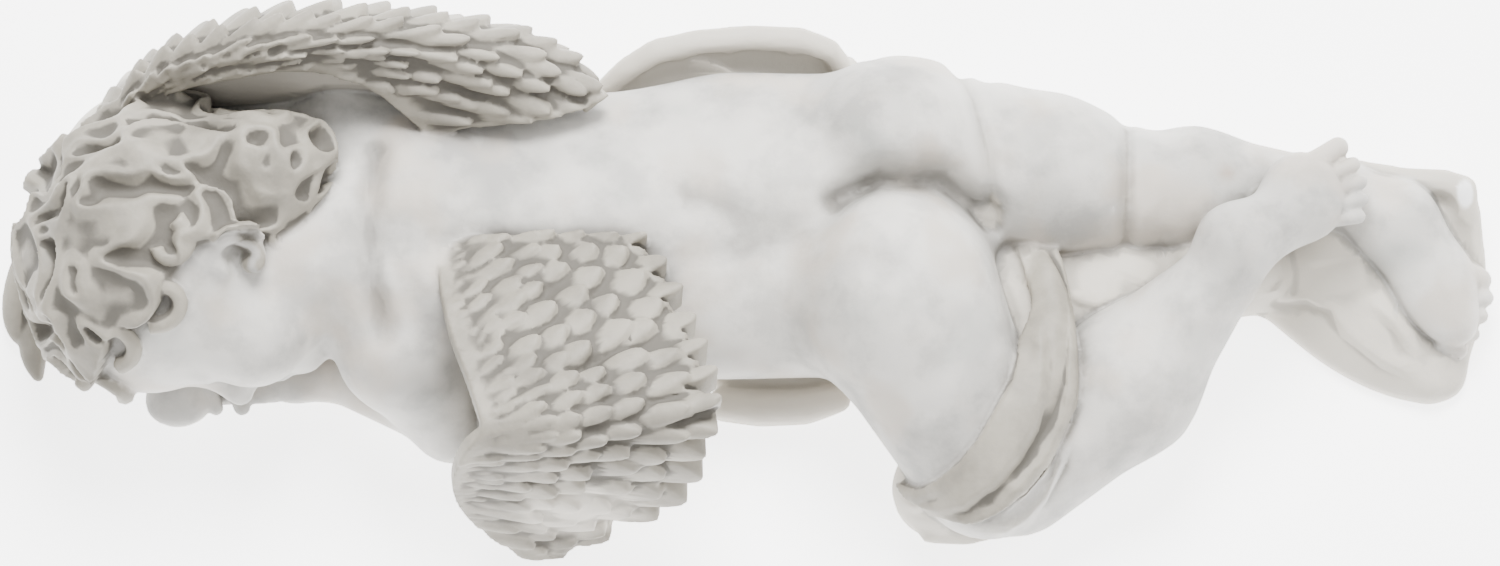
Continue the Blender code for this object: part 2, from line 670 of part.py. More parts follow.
def melt(rough, distance, voxel):
    """One skin round the rough shapes, drawn onto the surface where the given distance is nought."""
    evaluated(rough, ("REMESH", {"mode": "VOXEL", "voxel_size": voxel}))
    for _ in range(round(MELT_ROUNDS)):
        for _ in range(round(MELT_STEPS)):
            points = coordinates(rough.data)
            step = np.clip(distance(points / UNIT), -MELT_REACH, MELT_REACH)[:, None] * UNIT
            set_coordinates(rough.data, points - normals(rough.data) * step)
        evaluated(rough, ("REMESH", {"mode": "VOXEL", "voxel_size": voxel}))
    return rough


def spline(rows, share):
    """Points on the smooth curve through rows, at shares from 0 to 1 of the way along it. Shares outside run on."""
    rows = np.asarray(rows, float)
    t = np.asarray(share, float) * (len(rows) - 1)
    i = np.clip(np.floor(t).astype(int), 0, len(rows) - 2)
    f = (t - i)[:, None]
    before = rows[np.maximum(i - 1, 0)]
    after = rows[np.minimum(i + 2, len(rows) - 1)]
    a, b = rows[i], rows[i + 1]
    inside = np.clip(f, 0, 1)
    curve = 0.5 * (
        2 * a
        + (b - before) * inside
        + (2 * before - 5 * a + 4 * b - after) * inside**2
        + (3 * (a - b) + after - before) * inside**3
    )
    return curve + (f - inside) * (b - a)


def wing_point(wing, u, v):
    """The point at share u of the span and v of the way from the wing's front edge to its back edge."""
    lines = [spline(line, np.clip(u, 0, 1)) for line in wing["lines"]]
    if len(lines) == 2:
        return lines[0] + (lines[1] - lines[0]) * v[:, None]
    stacked = np.stack(lines)
    t = np.clip(v, 0, 1)[:, None]
    first, middle, last = stacked
    bend = middle * 2 - (first + last) / 2
    curve = first * (1 - t) ** 2 + bend * 2 * t * (1 - t) + last * t**2
    over = np.where(v > 1, v - 1, np.minimum(v, 0))[:, None]
    return curve + over * np.where(v[:, None] > 1, 2 * (last - bend), 2 * (bend - first))


def wing_surface(wing, u, v, height):
    """Points at a height above the wing's sheet."""
    step = SLOPE_STEP
    along = wing_point(wing, u + step, v) - wing_point(wing, u - step, v)
    across = wing_point(wing, u, v + step) - wing_point(wing, u, v - step)
    normal = np.cross(across, along)
    normal /= np.maximum(np.linalg.norm(normal, axis=1), TINY)[:, None]
    return wing_point(wing, u, v) - normal * height[:, None] * wing["outside"]


def wing_span(wing, v):
    """The wing's length along its span, at share v across it."""
    u = np.linspace(0, 1, MEASURE_STEPS)
    line = wing_point(wing, u, np.full(MEASURE_STEPS, v))
    return np.linalg.norm(np.diff(line, axis=0), axis=1).sum()


def wing_width(wing, u):
    """The wing's width from front to back edge, at share u along its span."""
    v = np.linspace(0, 1, MEASURE_STEPS)
    line = wing_point(wing, np.full(MEASURE_STEPS, u), v)
    return np.linalg.norm(np.diff(line, axis=0), axis=1).sum()


def feather_places(wing, rows):
    """Each feather as (place along the span, place of its root, place of its tip, half width, turn)."""
    vary = random.Random(FEATHER_SEED)
    places = []
    for row, (tip, length, half) in enumerate(rows):
        count = max(2, round(wing_span(wing, tip) / (half * FEATHER_SPACING)))
        for i in range(-1, count + 1):
            u = (i + (0.25 if row % 2 else 0.75) + vary.uniform(-FEATHER_STRAY, FEATHER_STRAY)) / count
            width = wing_width(wing, min(max(u, 0), 1))
            end = tip if tip == 1 else tip + vary.uniform(-FEATHER_RAG, FEATHER_RAG) / width
            reach = length * vary.uniform(*FEATHER_LENGTHS)
            turn = vary.uniform(-FEATHER_STRAY, FEATHER_STRAY)
            places.append((u, end - reach / width, end, half * vary.uniform(*FEATHER_WIDTHS), turn))
    return places


def feather_outline(share):
    """A feather's half width along it, 1 at its widest: even, then rounded to its tip."""
    past = np.clip((share - FEATHER_POINT) / (1 - FEATHER_POINT), 0, 1)
    return np.sqrt(np.clip(1 - past**2, 0, 1)) * (1 - FEATHER_WAIST * np.clip(1 - share / FEATHER_POINT, 0, 1))


def feather_heights(wing, places, u, v):
    """How high the feathers stand over the wing's sheet; each rises to its tip and lies over the roots behind it."""
    steps = np.linspace(0, 1, MEASURE_STEPS)
    spans = np.interp(v, steps, [wing_span(wing, step) for step in steps])
    widths = np.interp(u, steps, [wing_width(wing, step) for step in steps])
    height = np.zeros(len(u))
    for centre, root, tip, half, turn in places:
        near = np.flatnonzero((v > root) & (v < tip) & (np.abs(u - centre) * spans < half * 2))
        share = (v[near] - root) / (tip - root)
        across = (u[near] - centre) * spans[near] - turn * (v[near] - root) * widths[near]
        inside = (feather_outline(share) - np.abs(across) / half) * half
        rim = np.clip(inside / FEATHER_RIM, 0, 1)
        size = min(1.0, half / FEATHER_FULL)
        top = FEATHER_RISE * np.clip(share, 0, 1) ** FEATHER_CURL * size - FEATHER_CAMBER * (across / half) ** 2 * size
        top = top + FEATHER_TILT * across / half + FEATHER_CAMBER * size
        height[near] = np.maximum(height[near], top * np.sqrt(rim * (2 - rim)))
    return height


def wing_end(wing, places, u):
    """Where the wing's back edge lies at each place along its span, scalloped by the last feathers."""
    end = np.full(len(u), WING_SHORTEST)
    for centre, root, tip, half, turn in places:
        across = (u - centre) * wing_span(wing, 1) / half
        past = FEATHER_POINT + (1 - FEATHER_POINT) * np.sqrt(np.clip(1 - across**2, 0, 1))
        end = np.maximum(end, np.where(np.abs(across) < 1, root + (tip - root) * past, 0))
    return end


def add_flight_feathers(clay, template):
    ball, faces = template
    for line in FLIGHT_FEATHERS:
        line = np.array(line, float)
        along = (ball[:, 0] + 1) / 2
        centre = spline(line, along)
        ahead = spline(line, along + SLOPE_STEP)[:, :3] - spline(line, along - SLOPE_STEP)[:, :3]
        ahead /= np.linalg.norm(ahead, axis=1)[:, None]
        side = np.cross(ahead, np.array(FLIGHT_FACE))
        side /= np.linalg.norm(side, axis=1)[:, None]
        face = np.cross(side, ahead)
        blunt = np.sign(ball[:, 1]) * np.abs(ball[:, 1]) ** FLIGHT_BLUNT
        points = centre[:, :3] + side * (blunt * centre[:, 3])[:, None] + face * (ball[:, 2] * FEATHER_THICKNESS)[:, None]
        clay.add(points, faces)


def add_digits(clay):
    """Fingers and toes, each a body of its own so that the creases between them stay sharp."""
    template = ball_template(*BALL_FINE)
    for base, tip, thick, thin in FAR_TOES + NEAR_TOES + FINGERS:
        clay.add_limb((*base, thick), (*tip, thin), template)


def add_slab(clay, top, under):
    """A closed slab between two grids of points of the same shape."""
    along, across = top.shape[:2]
    size = along * across
    faces = []
    for i in range(along - 1):
        for j in range(across - 1):
            a = i * across + j
            face = [a, a + 1, a + across + 1, a + across]
            faces.append(face)
            faces.append([k + size for k in reversed(face)])
    rim = [j for j in range(across - 1)]
    rim += [(i + 1) * across - 1 for i in range(along - 1)]
    rim += [size - 1 - j for j in range(across - 1)]
    rim += [(along - 1 - i) * across for i in range(along - 1)]
    for a, b in zip(rim, rim[1:] + rim[:1]):
        faces.append([b, a, a + size, b + size])
    clay.add(np.concatenate([top.reshape(-1, 3), under.reshape(-1, 3)]), faces)


def add_wing(clay, wing, rows):
    """A wing: a thick curved sheet with closed edges and rows of feathers raised on its outside."""
    places = feather_places(wing, rows)
    along = round(wing_span(wing, 0.5) / WING_STEP)
    across = round(wing_width(wing, 0.5) / WING_STEP)
    u = np.linspace(0, 1, along)
    end = wing_end(wing, places, u)
    u, share = np.meshgrid(u, np.linspace(0, 1, across), indexing="ij")
    v = share * end[:, None]
    u, v = u.ravel(), v.ravel()
    top = wing_surface(wing, u, v, feather_heights(wing, places, u, v) - FEATHER_SINK)
    under = wing_surface(wing, u, v, np.full(u.size, -WING_THICKNESS))
    add_slab(clay, top.reshape(along, across, 3), under.reshape(along, across, 3))


def add_band(clay, crown, hollow, inner, outer):
    """A band of cloth between two edges, crowned across, hollowed beside its outer edge."""
    along, across = BAND_GRID
    share = np.linspace(0, 1, along)
    first, last = spline(inner, share), spline(outer, share)
    t = np.linspace(0, 1, across)[None, :, None]
    sheet = first[:, None] * (1 - t) + last[:, None] * t
    normal = np.cross(np.gradient(sheet, axis=0), np.gradient(sheet, axis=1))
    normal /= np.maximum(np.linalg.norm(normal, axis=2), TINY)[:, :, None]
    normal *= np.where(normal[:, :, 2:3] < 0, -1.0, 1.0)
    middle = np.sin(share * math.pi)[:, None, None]
    rise = crown * np.sin(t * math.pi) - hollow * middle * np.exp(-(((t - HOLLOW_PLACE) / HOLLOW_WIDTH) ** 2))
    add_slab(clay, sheet + normal * rise, sheet + normal * (rise - BAND_THICKNESS))


def add_cloth_bands(clay):
    for crown, hollow, inner, outer in BANDS.values():
        add_band(clay, crown, hollow, inner, outer)


def scalp_distance(points):
    """How far points lie outside the bare head with the mass of hair at its nape."""
    local = (points - np.array(HEAD_CENTRE)) @ HEAD_AXES.T
    centre, radii, fillet = NAPE_HAIR
    return smooth_min(head_distance(points), mass_distance(local, centre, radii, 0), fillet)


def on_skull(directions):
    """Points on the scalp, in plan units, that lie in these head-axes directions from the head's centre."""
    directions = directions / np.linalg.norm(directions, axis=1)[:, None]
    outward = directions @ HEAD_AXES
    points = np.array(HEAD_CENTRE) + outward * SCALP_START
    for _ in range(round(SCALP_STEPS)):
        points = points - outward * scalp_distance(points)[:, None] * SCALP_PACE
    return points, outward


def hair_growth(directions):
    """Above nought where hair grows, for head-axes directions: the back and crown, down to the temples and nape."""
    forward, up = directions[:, 1], directions[:, 2]
    nape = up + NAPE_UP + NAPE_SLOPE * forward
    return np.minimum(np.interp(up, HAIRLINE_UP, HAIRLINE_FORWARD) - forward, nape)


def hair_ridges(places):
    """Winding ridges of hair: 1 along their crests, falling to the pits between them."""
    crests = []
    for place in (places / np.array(HAIR_CELL)).tolist():
        place = Vector(place)
        crests.append(noise.noise(place + noise.noise_vector(place * HAIR_WIND_CELL) * HAIR_WIND))
    return 1 / (1 + (np.array(crests) / HAIR_CREST) ** 2)


def add_hair_cap(clay):
    """A shell over the scalp, ridged where hair grows and sunk under the skin elsewhere."""
    shape = bmesh.new()
    bmesh.ops.create_icosphere(shape, subdivisions=round(HAIR_FINENESS), radius=1)
    directions = np.array([v.co for v in shape.verts])
    faces = [[v.index for v in f.verts] for f in shape.faces]
    shape.free()
    points, outward = on_skull(directions)
    ridge = hair_ridges((points - np.array(HEAD_CENTRE)) @ HEAD_AXES.T)
    grown = np.clip((hair_growth(directions) + HAIR_RAG * (ridge - 0.5)) / HAIR_EDGE, 0, 1)
    lift = grown * (HAIR_BASE + HAIR_RELIEF * ridge) - (1 - grown) * HAIR_SUNK
    clay.add(points + outward * lift[:, None], faces)


def curl_line(middle, radius, start, turn):
    """The surface directions along a curl that winds inward round its middle."""
    middle = unit(middle)
    side = unit(np.cross(middle, (0.0, 0.0, 1.0)))
    across = np.cross(middle, side)
    steps = np.linspace(0, 1, CURL_POINTS)
    angles = np.radians(start + turn * steps)
    reach = radius / SKULL_RADIUS * (CURL_OPEN - (CURL_OPEN - CURL_CLOSED) * steps)
    return middle + side * (np.cos(angles) * reach)[:, None] + across * (np.sin(angles) * reach)[:, None]


def add_curl(data, line, radius, swell):
    points, outward = on_skull(line)
    points = points + outward * (CURL_LIFT * swell)[:, None]
    tube = data.splines.new("NURBS")
    tube.points.add(CURL_POINTS - 1)
    tube.use_endpoint_u = True
    tube.order_u = 3
    tube.resolution_u = 2
    for point, place, thick in zip(tube.points, points, swell):
        point.co = (*(place * UNIT), 1)
        point.radius = radius * thick * UNIT


def model_curls():
    """Curls along the hairline, as one curve of tapered tubes."""
    data = bpy.data.curves.new("curls", "CURVE")
    data.dimensions = "3D"
    data.bevel_depth = 1.0
    data.bevel_resolution = 2
    data.use_fill_caps = True
    share = np.linspace(0, 1, CURL_POINTS)
    for middle, radius, start, turn, thick in CURLS:
        add_curl(data, curl_line(middle, radius, start, turn), thick, 1 - CURL_TAPER * share)
    obj = bpy.data.objects.new("curls", data)
    bpy.context.scene.collection.objects.link(obj)
    graph = bpy.context.evaluated_depsgraph_get()
    mesh = bpy.data.meshes.new_from_object(obj.evaluated_get(graph))
    tubes = bpy.data.objects.new("curls", mesh)
    bpy.context.scene.collection.objects.link(tubes)
    bpy.data.objects.remove(obj)
    return tubes


def edge_relief(points, height, width, line):
    """The rise of cloth towards one edge, and its drop beyond it, at points in plan."""
    near = np.full(len(points), FAR_OFF)
    side, run = np.zeros(len(points)), np.zeros(len(points))
    length = 0.0
    for a, b in zip(line, line[1:]):
        a, b = np.array(a, float), np.array(b, float)
        along, reach = b - a, np.linalg.norm(b - a)
        t = np.clip((points - a) @ along / reach**2, 0, 1)
        offset = points - a - t[:, None] * along
        distance = np.linalg.norm(offset, axis=1)
        closer = distance < near
        near = np.where(closer, distance, near)
        side = np.where(closer, along[0] * offset[:, 1] - along[1] * offset[:, 0], side)
        run = np.where(closer, length + t * reach, run)
        length += reach
    fade = np.clip(np.minimum(run, length - run) / EDGE_ENDS, 0, 1)
    over = np.clip(0.5 + np.sign(side) * near / EDGE_SLOPE, 0, 1)
    rise = over * np.exp(-near / width) - (1 - over) * EDGE_DROP * np.exp(-near / (width * EDGE_FOOT))
    return height * fade * rise


def emboss(mesh):
    """Works the edges of the cloth into the upper side of the finished shape."""
    points, up = coordinates(mesh), normals(mesh)
    plan = points[:, :2] / UNIT
    relief = np.zeros(len(points))
    for height, width, ceiling, line in EDGES.values():
        box = np.array(line, float)
        near = np.all((plan > box.min(axis=0) - EDGE_REACH) & (plan < box.max(axis=0) + EDGE_REACH), axis=1)
        inside = np.flatnonzero(near & (up[:, 2] > 0) & (points[:, 2] < ceiling * UNIT))
        relief[inside] += edge_relief(plan[inside], height, width, line) * np.clip(up[inside, 2] / EDGE_STEEP, 0, 1)
    set_coordinates(mesh, points + up * (relief * UNIT)[:, None])


def joined(name, *objects):
    """One object of all their meshes; the objects go."""
    shape = bmesh.new()
    for obj in objects:
        shape.from_mesh(obj.data)
    mesh = bpy.data.meshes.new(name)
    shape.to_mesh(mesh)
    shape.free()
    for obj in objects:
        bpy.data.objects.remove(obj)
    whole = bpy.data.objects.new(name, mesh)
    bpy.context.scene.collection.objects.link(whole)
    return whole


def cut_flat(mesh):
    """Cuts the mesh off at the table and closes it with a flat face."""
    shape = bmesh.new()
    shape.from_mesh(mesh)
    geometry = shape.verts[:] + shape.edges[:] + shape.faces[:]
    bmesh.ops.bisect_plane(
        shape, geom=geometry, dist=1e-6, plane_co=(0, 0, 0), plane_no=(0, 0, 1), clear_inner=True
    )
    rim = [edge for edge in shape.edges if edge.is_boundary]
    bmesh.ops.holes_fill(shape, edges=rim, sides=0)
    bmesh.ops.triangulate(shape, faces=shape.faces[:])
    bmesh.ops.recalc_face_normals(shape, faces=shape.faces[:])
    shape.to_mesh(mesh)
    shape.free()


def keep_largest(mesh):
    """Keeps the figure and drops any loose crumb beside it."""
    shape = bmesh.new()
    shape.from_mesh(mesh)
    left, islands = set(shape.verts), []
    while left:
        island, front = set(), [left.pop()]
        while front:
            vert = front.pop()
            island.add(vert)
            for edge in vert.link_edges:
                other = edge.other_vert(vert)
                if other in left:
                    left.remove(other)
                    front.append(other)
        islands.append(island)
    islands.sort(key=len)
    for island in islands[:-1]:
        bmesh.ops.delete(shape, geom=list(island), context="VERTS")
    shape.to_mesh(mesh)
    shape.free()


def centre_in_plan(mesh):
    """Moves the mesh so that its bounding box is centred on the origin in X and Y."""
    points = coordinates(mesh)
    middle = (points.min(axis=0) + points.max(axis=0)) / 2
    set_coordinates(mesh, points - np.array([middle[0], middle[1], 0.0]))


def stone():
    material = bpy.data.materials.new("cast_stone")
    material.use_nodes = True
    surface = material.node_tree.nodes["Principled BSDF"]
    surface.inputs["Base Color"].default_value = STONE_COLOUR
    surface.inputs["Roughness"].default_value = STONE_ROUGHNESS
    surface.inputs["Metallic"].default_value = 0.0
    material.diffuse_color = STONE_COLOUR
    return material


def main():
    clear_scene()
    flesh = melt(rough_flesh(), flesh_distance, FLESH_VOXEL)
    cloth = melt(rough_cloth(), cloth_distance, FLESH_VOXEL)
    clay = Clay()
    for wing, rows in ((NEAR_WING, NEAR_ROWS), (FAR_WING, FAR_ROWS)):
        add_wing(clay, wing, rows)
    add_flight_feathers(clay, ball_template(*BALL_FINE))
    add_cloth_bands(clay)
    add_digits(clay)
    add_hair_cap(clay)
    angel = joined("sleeping_angel", flesh, cloth, clay.object("carving"), model_curls())
    evaluated(angel, ("REMESH", {"mode": "VOXEL", "voxel_size": CARVING_VOXEL}))
    keep_largest(angel.data)
    emboss(angel.data)
    evaluated(angel, ("SMOOTH", {"factor": SMOOTHING, "iterations": 1}))
    triangles = sum(len(face.vertices) - 2 for face in angel.data.polygons)
    evaluated(angel, ("DECIMATE", {"ratio": MOST_TRIANGLES * (1 + SUNK_SHARE) / triangles}))
    cut_flat(angel.data)
    keep_largest(angel.data)
    centre_in_plan(angel.data)
    print("triangles", triangles, len(angel.data.polygons))
    angel.data.materials.append(stone())
    angel.data.polygons.foreach_set("use_smooth", [True] * len(angel.data.polygons))
    angel.data.set_sharp_from_angle(angle=math.radians(SHARP_ANGLE))
    parts = bpy.data.collections.new("sleeping_angel_parts")
    bpy.context.scene.collection.children.link(parts)
    parts.objects.link(angel)
    bpy.context.scene.collection.objects.unlink(angel)


main()
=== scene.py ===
"""Sleeping angel: the looks of a one-piece stone-resin casting, a winged baby asleep on its front.

The shape is worked out from the same masses, folds, locks and feathers as the solid, on a finer grid. Places and
radii are in plan units, 1490 to the figure's length: X from the crown to the feet, Y to the far side, Z up.
"""

import json
import math
import random

import bmesh
import bpy
import numpy as np
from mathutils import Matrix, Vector, noise
from mathutils.bvhtree import BVHTree

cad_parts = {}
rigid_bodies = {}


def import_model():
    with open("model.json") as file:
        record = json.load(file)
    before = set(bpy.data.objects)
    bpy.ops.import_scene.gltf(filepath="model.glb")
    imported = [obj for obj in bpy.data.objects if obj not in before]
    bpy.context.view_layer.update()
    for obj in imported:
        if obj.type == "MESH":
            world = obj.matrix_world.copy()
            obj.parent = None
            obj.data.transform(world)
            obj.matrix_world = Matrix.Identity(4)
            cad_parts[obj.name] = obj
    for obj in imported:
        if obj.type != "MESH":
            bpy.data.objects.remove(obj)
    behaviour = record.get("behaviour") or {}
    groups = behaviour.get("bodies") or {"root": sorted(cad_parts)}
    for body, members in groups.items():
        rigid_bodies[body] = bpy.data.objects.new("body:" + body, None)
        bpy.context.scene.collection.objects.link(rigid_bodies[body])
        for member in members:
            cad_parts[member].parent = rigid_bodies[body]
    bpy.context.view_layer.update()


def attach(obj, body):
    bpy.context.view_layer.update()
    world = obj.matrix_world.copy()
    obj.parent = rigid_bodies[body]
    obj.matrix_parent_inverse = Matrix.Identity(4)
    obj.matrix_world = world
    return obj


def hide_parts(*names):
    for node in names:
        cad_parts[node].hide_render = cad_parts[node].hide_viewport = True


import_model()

# Driving dimensions, in metres.
LENGTH = 0.380
FLESH_VOXEL = 0.0014
CARVING_VOXEL = 0.00062
WING_STEP = 1.8
HAIR_FINENESS = 7

PLAN_LENGTH = 1490.0
UNIT = LENGTH / PLAN_LENGTH
MOST_TRIANGLES = 190000
SUNK_SHARE = 0.03

# The camera looks down from well above, a little from the side that the face turns to.
VIEW_TILT = math.radians(12)
VIEW_DISTANCE = 2.6
VIEW_HEIGHT = 110 * UNIT
FRAME_WIDTH = 1500 * UNIT
SENSOR = 0.036

# How far, in metres, a hollow's walls are looked for, and how many ways, when grey wash and painted shade go into it.
HOLLOW_REACH = 0.008
HOLLOW_RAYS = 20
# How often the surface is smoothed, and how deep below that a crease gets its darkest wash and painted shade.
CREASE_ROUNDS = 24
CREASE_DEPTH = 0.0007

TINY = 1e-9
FAR_OFF = 1e6
BALL_FINE, BALL_COARSE = (24, 16), (20, 12)
MELT_ROUNDS, MELT_STEPS, MELT_REACH = 2, 4, 12.0

# The flesh is round masses, (centre, radii, turn about Z in degrees, fillet), and limbs, ((x, y, z, radius) at each
# end, fillet). A group's shapes melt into each other by their fillets, and into the other groups by the group's own.
TRUNK = {
    "join": 6,
    "masses": {
        "pelvis": ((112, 38, 100), (138, 152, 98), 0, 0),
        "waist": ((-15, 38, 98), (158, 156, 93), 0, 55),
        "ribs": ((-185, 26, 100), (180, 146, 96), -4, 60),
        "upper_back": ((-335, 22, 122), (95, 120, 80), -12, 60),
        "near_buttock": ((146, -38, 150), (93, 106, 112), 8, 22),
        "far_buttock": ((144, 118, 134), (92, 84, 96), 0, 18),
    },
    "limbs": {
        "neck": ((-385, 14, 132, 88), (-470, 5, 146, 84), 40),
        "far_shoulder": ((-345, 80, 130, 66), (-405, 132, 124, 62), 45),
        "near_shoulder": ((-335, -40, 130, 74), (-342, -91, 126, 71), 35),
        "far_thigh": ((180, 112, 112, 84), (300, 90, 95, 80), 22),
        "far_knee": ((300, 90, 95, 80), (368, 80, 80, 68), 14),
        "near_thigh": ((150, -52, 150, 97), (238, -205, 88, 74), 26),
    },
}
FAR_LEG = {
    "join": 9,
    "masses": {
        "sole": ((688, -14, 44), (66, 37, 32), -61, 14),
    },
    "limbs": {
        "calf_top": ((384, 78, 72, 57), (446, 79, 68, 62), 0),
        "calf": ((446, 79, 68, 62), (596, 76, 48, 36), 20),
        "heel": ((596, 76, 48, 34), (650, 48, 58, 42), 14),
        "instep": ((650, 48, 52, 40), (690, -4, 40, 38), 20),
    },
}
NEAR_LEG = {
    "join": 5,
    "masses": {
        "ball": ((552, 62, 134), (42, 44, 27), 24, 16),
    },
    "limbs": {
        "knee": ((264, -203, 65, 69), (376, -121, 88, 71), 0),
        "calf": ((376, -121, 88, 71), (470, -22, 136, 38), 24),
        "heel": ((470, -22, 138, 36), (484, 8, 156, 38), 12),
        "instep": ((484, 8, 152, 36), (552, 48, 136, 32), 18),
    },
}
NEAR_ARM = {
    "join": 6,
    "masses": {
        "hand": ((-452, -98, 24), (44, 30, 20), 12, 12),
    },
    "limbs": {
        "upper": ((-342, -91, 122, 69), (-296, -150, 60, 47), 0),
        "forearm": ((-298, -146, 40, 38), (-415, -100, 28, 27), 16),
    },
}
FAR_ARM = {
    "join": 6,
    "masses": {
        "hand": ((-572, -122, 24), (38, 30, 20), 20, 12),
    },
    "limbs": {
        "upper": ((-405, 132, 120, 60), (-535, 152, 70, 45), 0),
        "forearm": ((-535, 150, 55, 42), (-575, -40, 34, 34), 20),
        "wrist": ((-575, -40, 34, 32), (-575, -110, 26, 25), 14),
    },
}

# Drapery: each fold is a line of (x, y, z, radius); the folds melt into each other and into the sheets under them.
FOLD_FILLET = 7
SHEET_FILLET = 12
FOLDS = {
    "drape_hem": ((180, -247, 20, 26), (215, -247, 20, 28), (255, -238, 20, 26), (278, -221, 22, 22)),
    "drape_start": ((228, 46, 98, 9), (259, 39, 104, 10), (290, 24, 106, 11)),
    "foot_far": ((600, 108, 44, 12), (660, 94, 52, 14), (700, 92, 52, 14), (718, 85, 48, 16), (722, 67, 44, 13)),
    "foot_right": ((724, 62, 34, 14), (728, 23, 26, 14), (731, -22, 22, 14), (716, -64, 20, 12), (692, -87, 18, 11)),
    "foot_fold_1": ((506, -19, 28, 13), (561, -23, 28, 14), (597, -57, 26, 15), (648, -90, 22, 15), (684, -109, 16, 14)),
    "foot_fold_2": ((540, 1, 30, 12), (585, -27, 30, 13), (633, -63, 24, 14), (675, -101, 16, 12)),
    "foot_fold_3": ((633, -36, 28, 12), (660, -63, 24, 13), (690, -85, 18, 12)),
    "foot_fold_4": ((500, 7, 40, 13), (570, -2, 35, 14), (620, -24, 30, 14)),
    "waist_rim": ((-148, 187, 60, 10), (-125, 203, 80, 12), (-95, 218, 95, 13), (-50, 227, 100, 13), (1, 231, 100, 13),
                  (50, 230, 95, 13), (80, 222, 85, 12), (94, 209, 70, 10)),
    "waist_inner": ((-145, 183, 50, 9), (-110, 200, 60, 10), (-60, 206, 65, 11), (-25, 197, 60, 9), (-8, 190, 55, 8)),
    "waist_hang_1": ((-120, 202, 64, 10), (-130, 214, 0, 15)),
    "waist_hang_2": ((-72, 222, 84, 12), (-84, 234, 0, 20)),
    "waist_hang_3": ((-22, 228, 84, 12), (-14, 241, 0, 21)),
    "waist_hang_4": ((40, 228, 80, 12), (50, 238, 0, 20)),
    "waist_hang_5": ((84, 212, 60, 10), (100, 220, 0, 16)),
    "waist_near": ((-28, -128, 20, 16), (10, -132, 22, 18), (55, -130, 22, 18), (88, -124, 25, 15)),
}
SHEETS = {
    "between_feet": ((575, 24, 8), (84, 62, 62), -20),
    "foot_ground": ((612, -40, 0), (134, 58, 42), -34),
    "foot_valley": ((626, -32, 16), (60, 44, 38), -50),
    "foot_ground_far": ((668, 50, 0), (68, 62, 54), 0),
    "foot_ground_right": ((688, -8, 0), (50, 104, 30), 8),
    "under_ankle": ((475, 6, 40), (70, 44, 72), -10),
    "waist_ground": ((-25, 196, 0), (118, 48, 72), 2),
    "waist_near_ground": ((32, -58, 0), (98, 80, 34), 0),
    "between_ground": ((345, -18, 36), (140, 92, 66), -15),
    "drape_ground": ((222, -205, 30), (82, 60, 70), 20),
    "drape_pit": ((262, -40, 60), (78, 96, 62), 0),
    "drape_root": ((242, 54, 92), (58, 44, 50), -8),
    "foot_ground_inner": ((575, -8, 0), (96, 52, 40), -24),
    "under_head": ((-560, 0, 10), (120, 100, 60), 0),
    "under_chest": ((-360, 20, 20), (130, 150, 60), 0),
    "under_near_wing": ((-178, -150, 90), (92, 112, 104), 0),
    "under_far_wing": ((-400, 190, 100), (222, 46, 112), 0),
    "under_wing_tip": ((-640, 96, 30), (66, 96, 76), -20),
}
# Broad bands of cloth: (crown, hollow, inner edge, outer edge). The outer edge stands clear and the hollow runs
# beside it.
BANDS = {
    "drape_top": (
        8, 9,
        ((236, 46, 104), (262, 16, 116), (282, -36, 140), (277, -73, 155), (270, -97, 160), (259, -137, 178),
         (245, -164, 185), (227, -196, 180), (208, -217, 168), (189, -231, 148), (165, -234, 115), (143, -222, 80)),
        ((268, 50, 106), (306, 12, 124), (322, -50, 136), (326, -100, 160), (326, -149, 166), (318, -173, 163),
         (308, -193, 160), (292, -220, 158), (271, -245, 157), (246, -264, 150), (212, -273, 133), (176, -257, 109)),
    ),
    "waist_outer": (
        -6, 0,
        ((-150, 168, 40), (-125, 172, 46), (-95, 174, 50), (-50, 172, 50), (1, 172, 50), (50, 178, 50), (80, 184, 48),
         (98, 190, 44)),
        ((-148, 187, 66), (-125, 203, 84), (-95, 219, 98), (-50, 229, 104), (1, 233, 104), (50, 232, 99),
         (82, 224, 88), (98, 208, 72)),
    ),
    "waist_inner": (
        -4, 0,
        ((-150, 164, 50), (-110, 168, 56), (-60, 168, 58), (-20, 170, 56), (0, 178, 54)),
        ((-146, 184, 72), (-110, 206, 82), (-60, 212, 86), (-25, 204, 78), (-4, 190, 62)),
    ),
}
BAND_THICKNESS = 12.0
BAND_GRID = (44, 12)
HOLLOW_PLACE, HOLLOW_WIDTH = 0.74, 0.15
# Edges where cloth lies over cloth, seen in plan: (height, width, ceiling, line). It rises to the line from the
# left of the way along it and drops on the right. Nothing above the ceiling is moved.
EDGES = {
    "drape_crest": (
        9, 26, 400,
        ((246, -262), (271, -243), (292, -218), (306, -192), (316, -172), (322, -148), (324, -102), (320, -60),
         (312, -30), (294, 8)),
    ),
    "drape_second": (
        8, 17, 400,
        ((198, -280), (222, -284), (252, -280), (276, -266), (294, -245), (305, -224), (313, -208), (319, -188)),
    ),
    "drape_inner": (
        6, 18, 400,
        ((262, -60), (266, -95), (259, -137), (245, -164), (227, -196), (208, -217), (189, -229), (168, -236)),
    ),
    "drape_middle": (
        6, 15, 400,
        ((186, -262), (214, -258), (240, -240), (262, -214), (280, -184), (290, -150), (294, -110), (292, -70)),
    ),
    "drape_small": (6, 12, 400, ((142, -236), (166, -246), (187, -244), (206, -238))),
    "pit_edge": (5, 16, 150, ((262, -100), (264, -76), (254, -42), (238, -12))),
    "between_small": (5, 14, 125, ((308, -26), (330, -42), (348, -46), (372, -30))),
    "between_upper": (4, 12, 125, ((364, -6), (385, -18), (406, -26))),
    "foot_main": (8, 15, 75, ((506, -24), (535, -27), (561, -28), (583, -39), (597, -62), (633, -90), (669, -108))),
    "foot_upper": (6, 12, 75, ((551, 3), (599, 9), (615, 12))),
    "foot_lower": (7, 12, 75, ((618, -30), (645, -55), (669, -87))),
}
EDGE_ENDS = 24.0
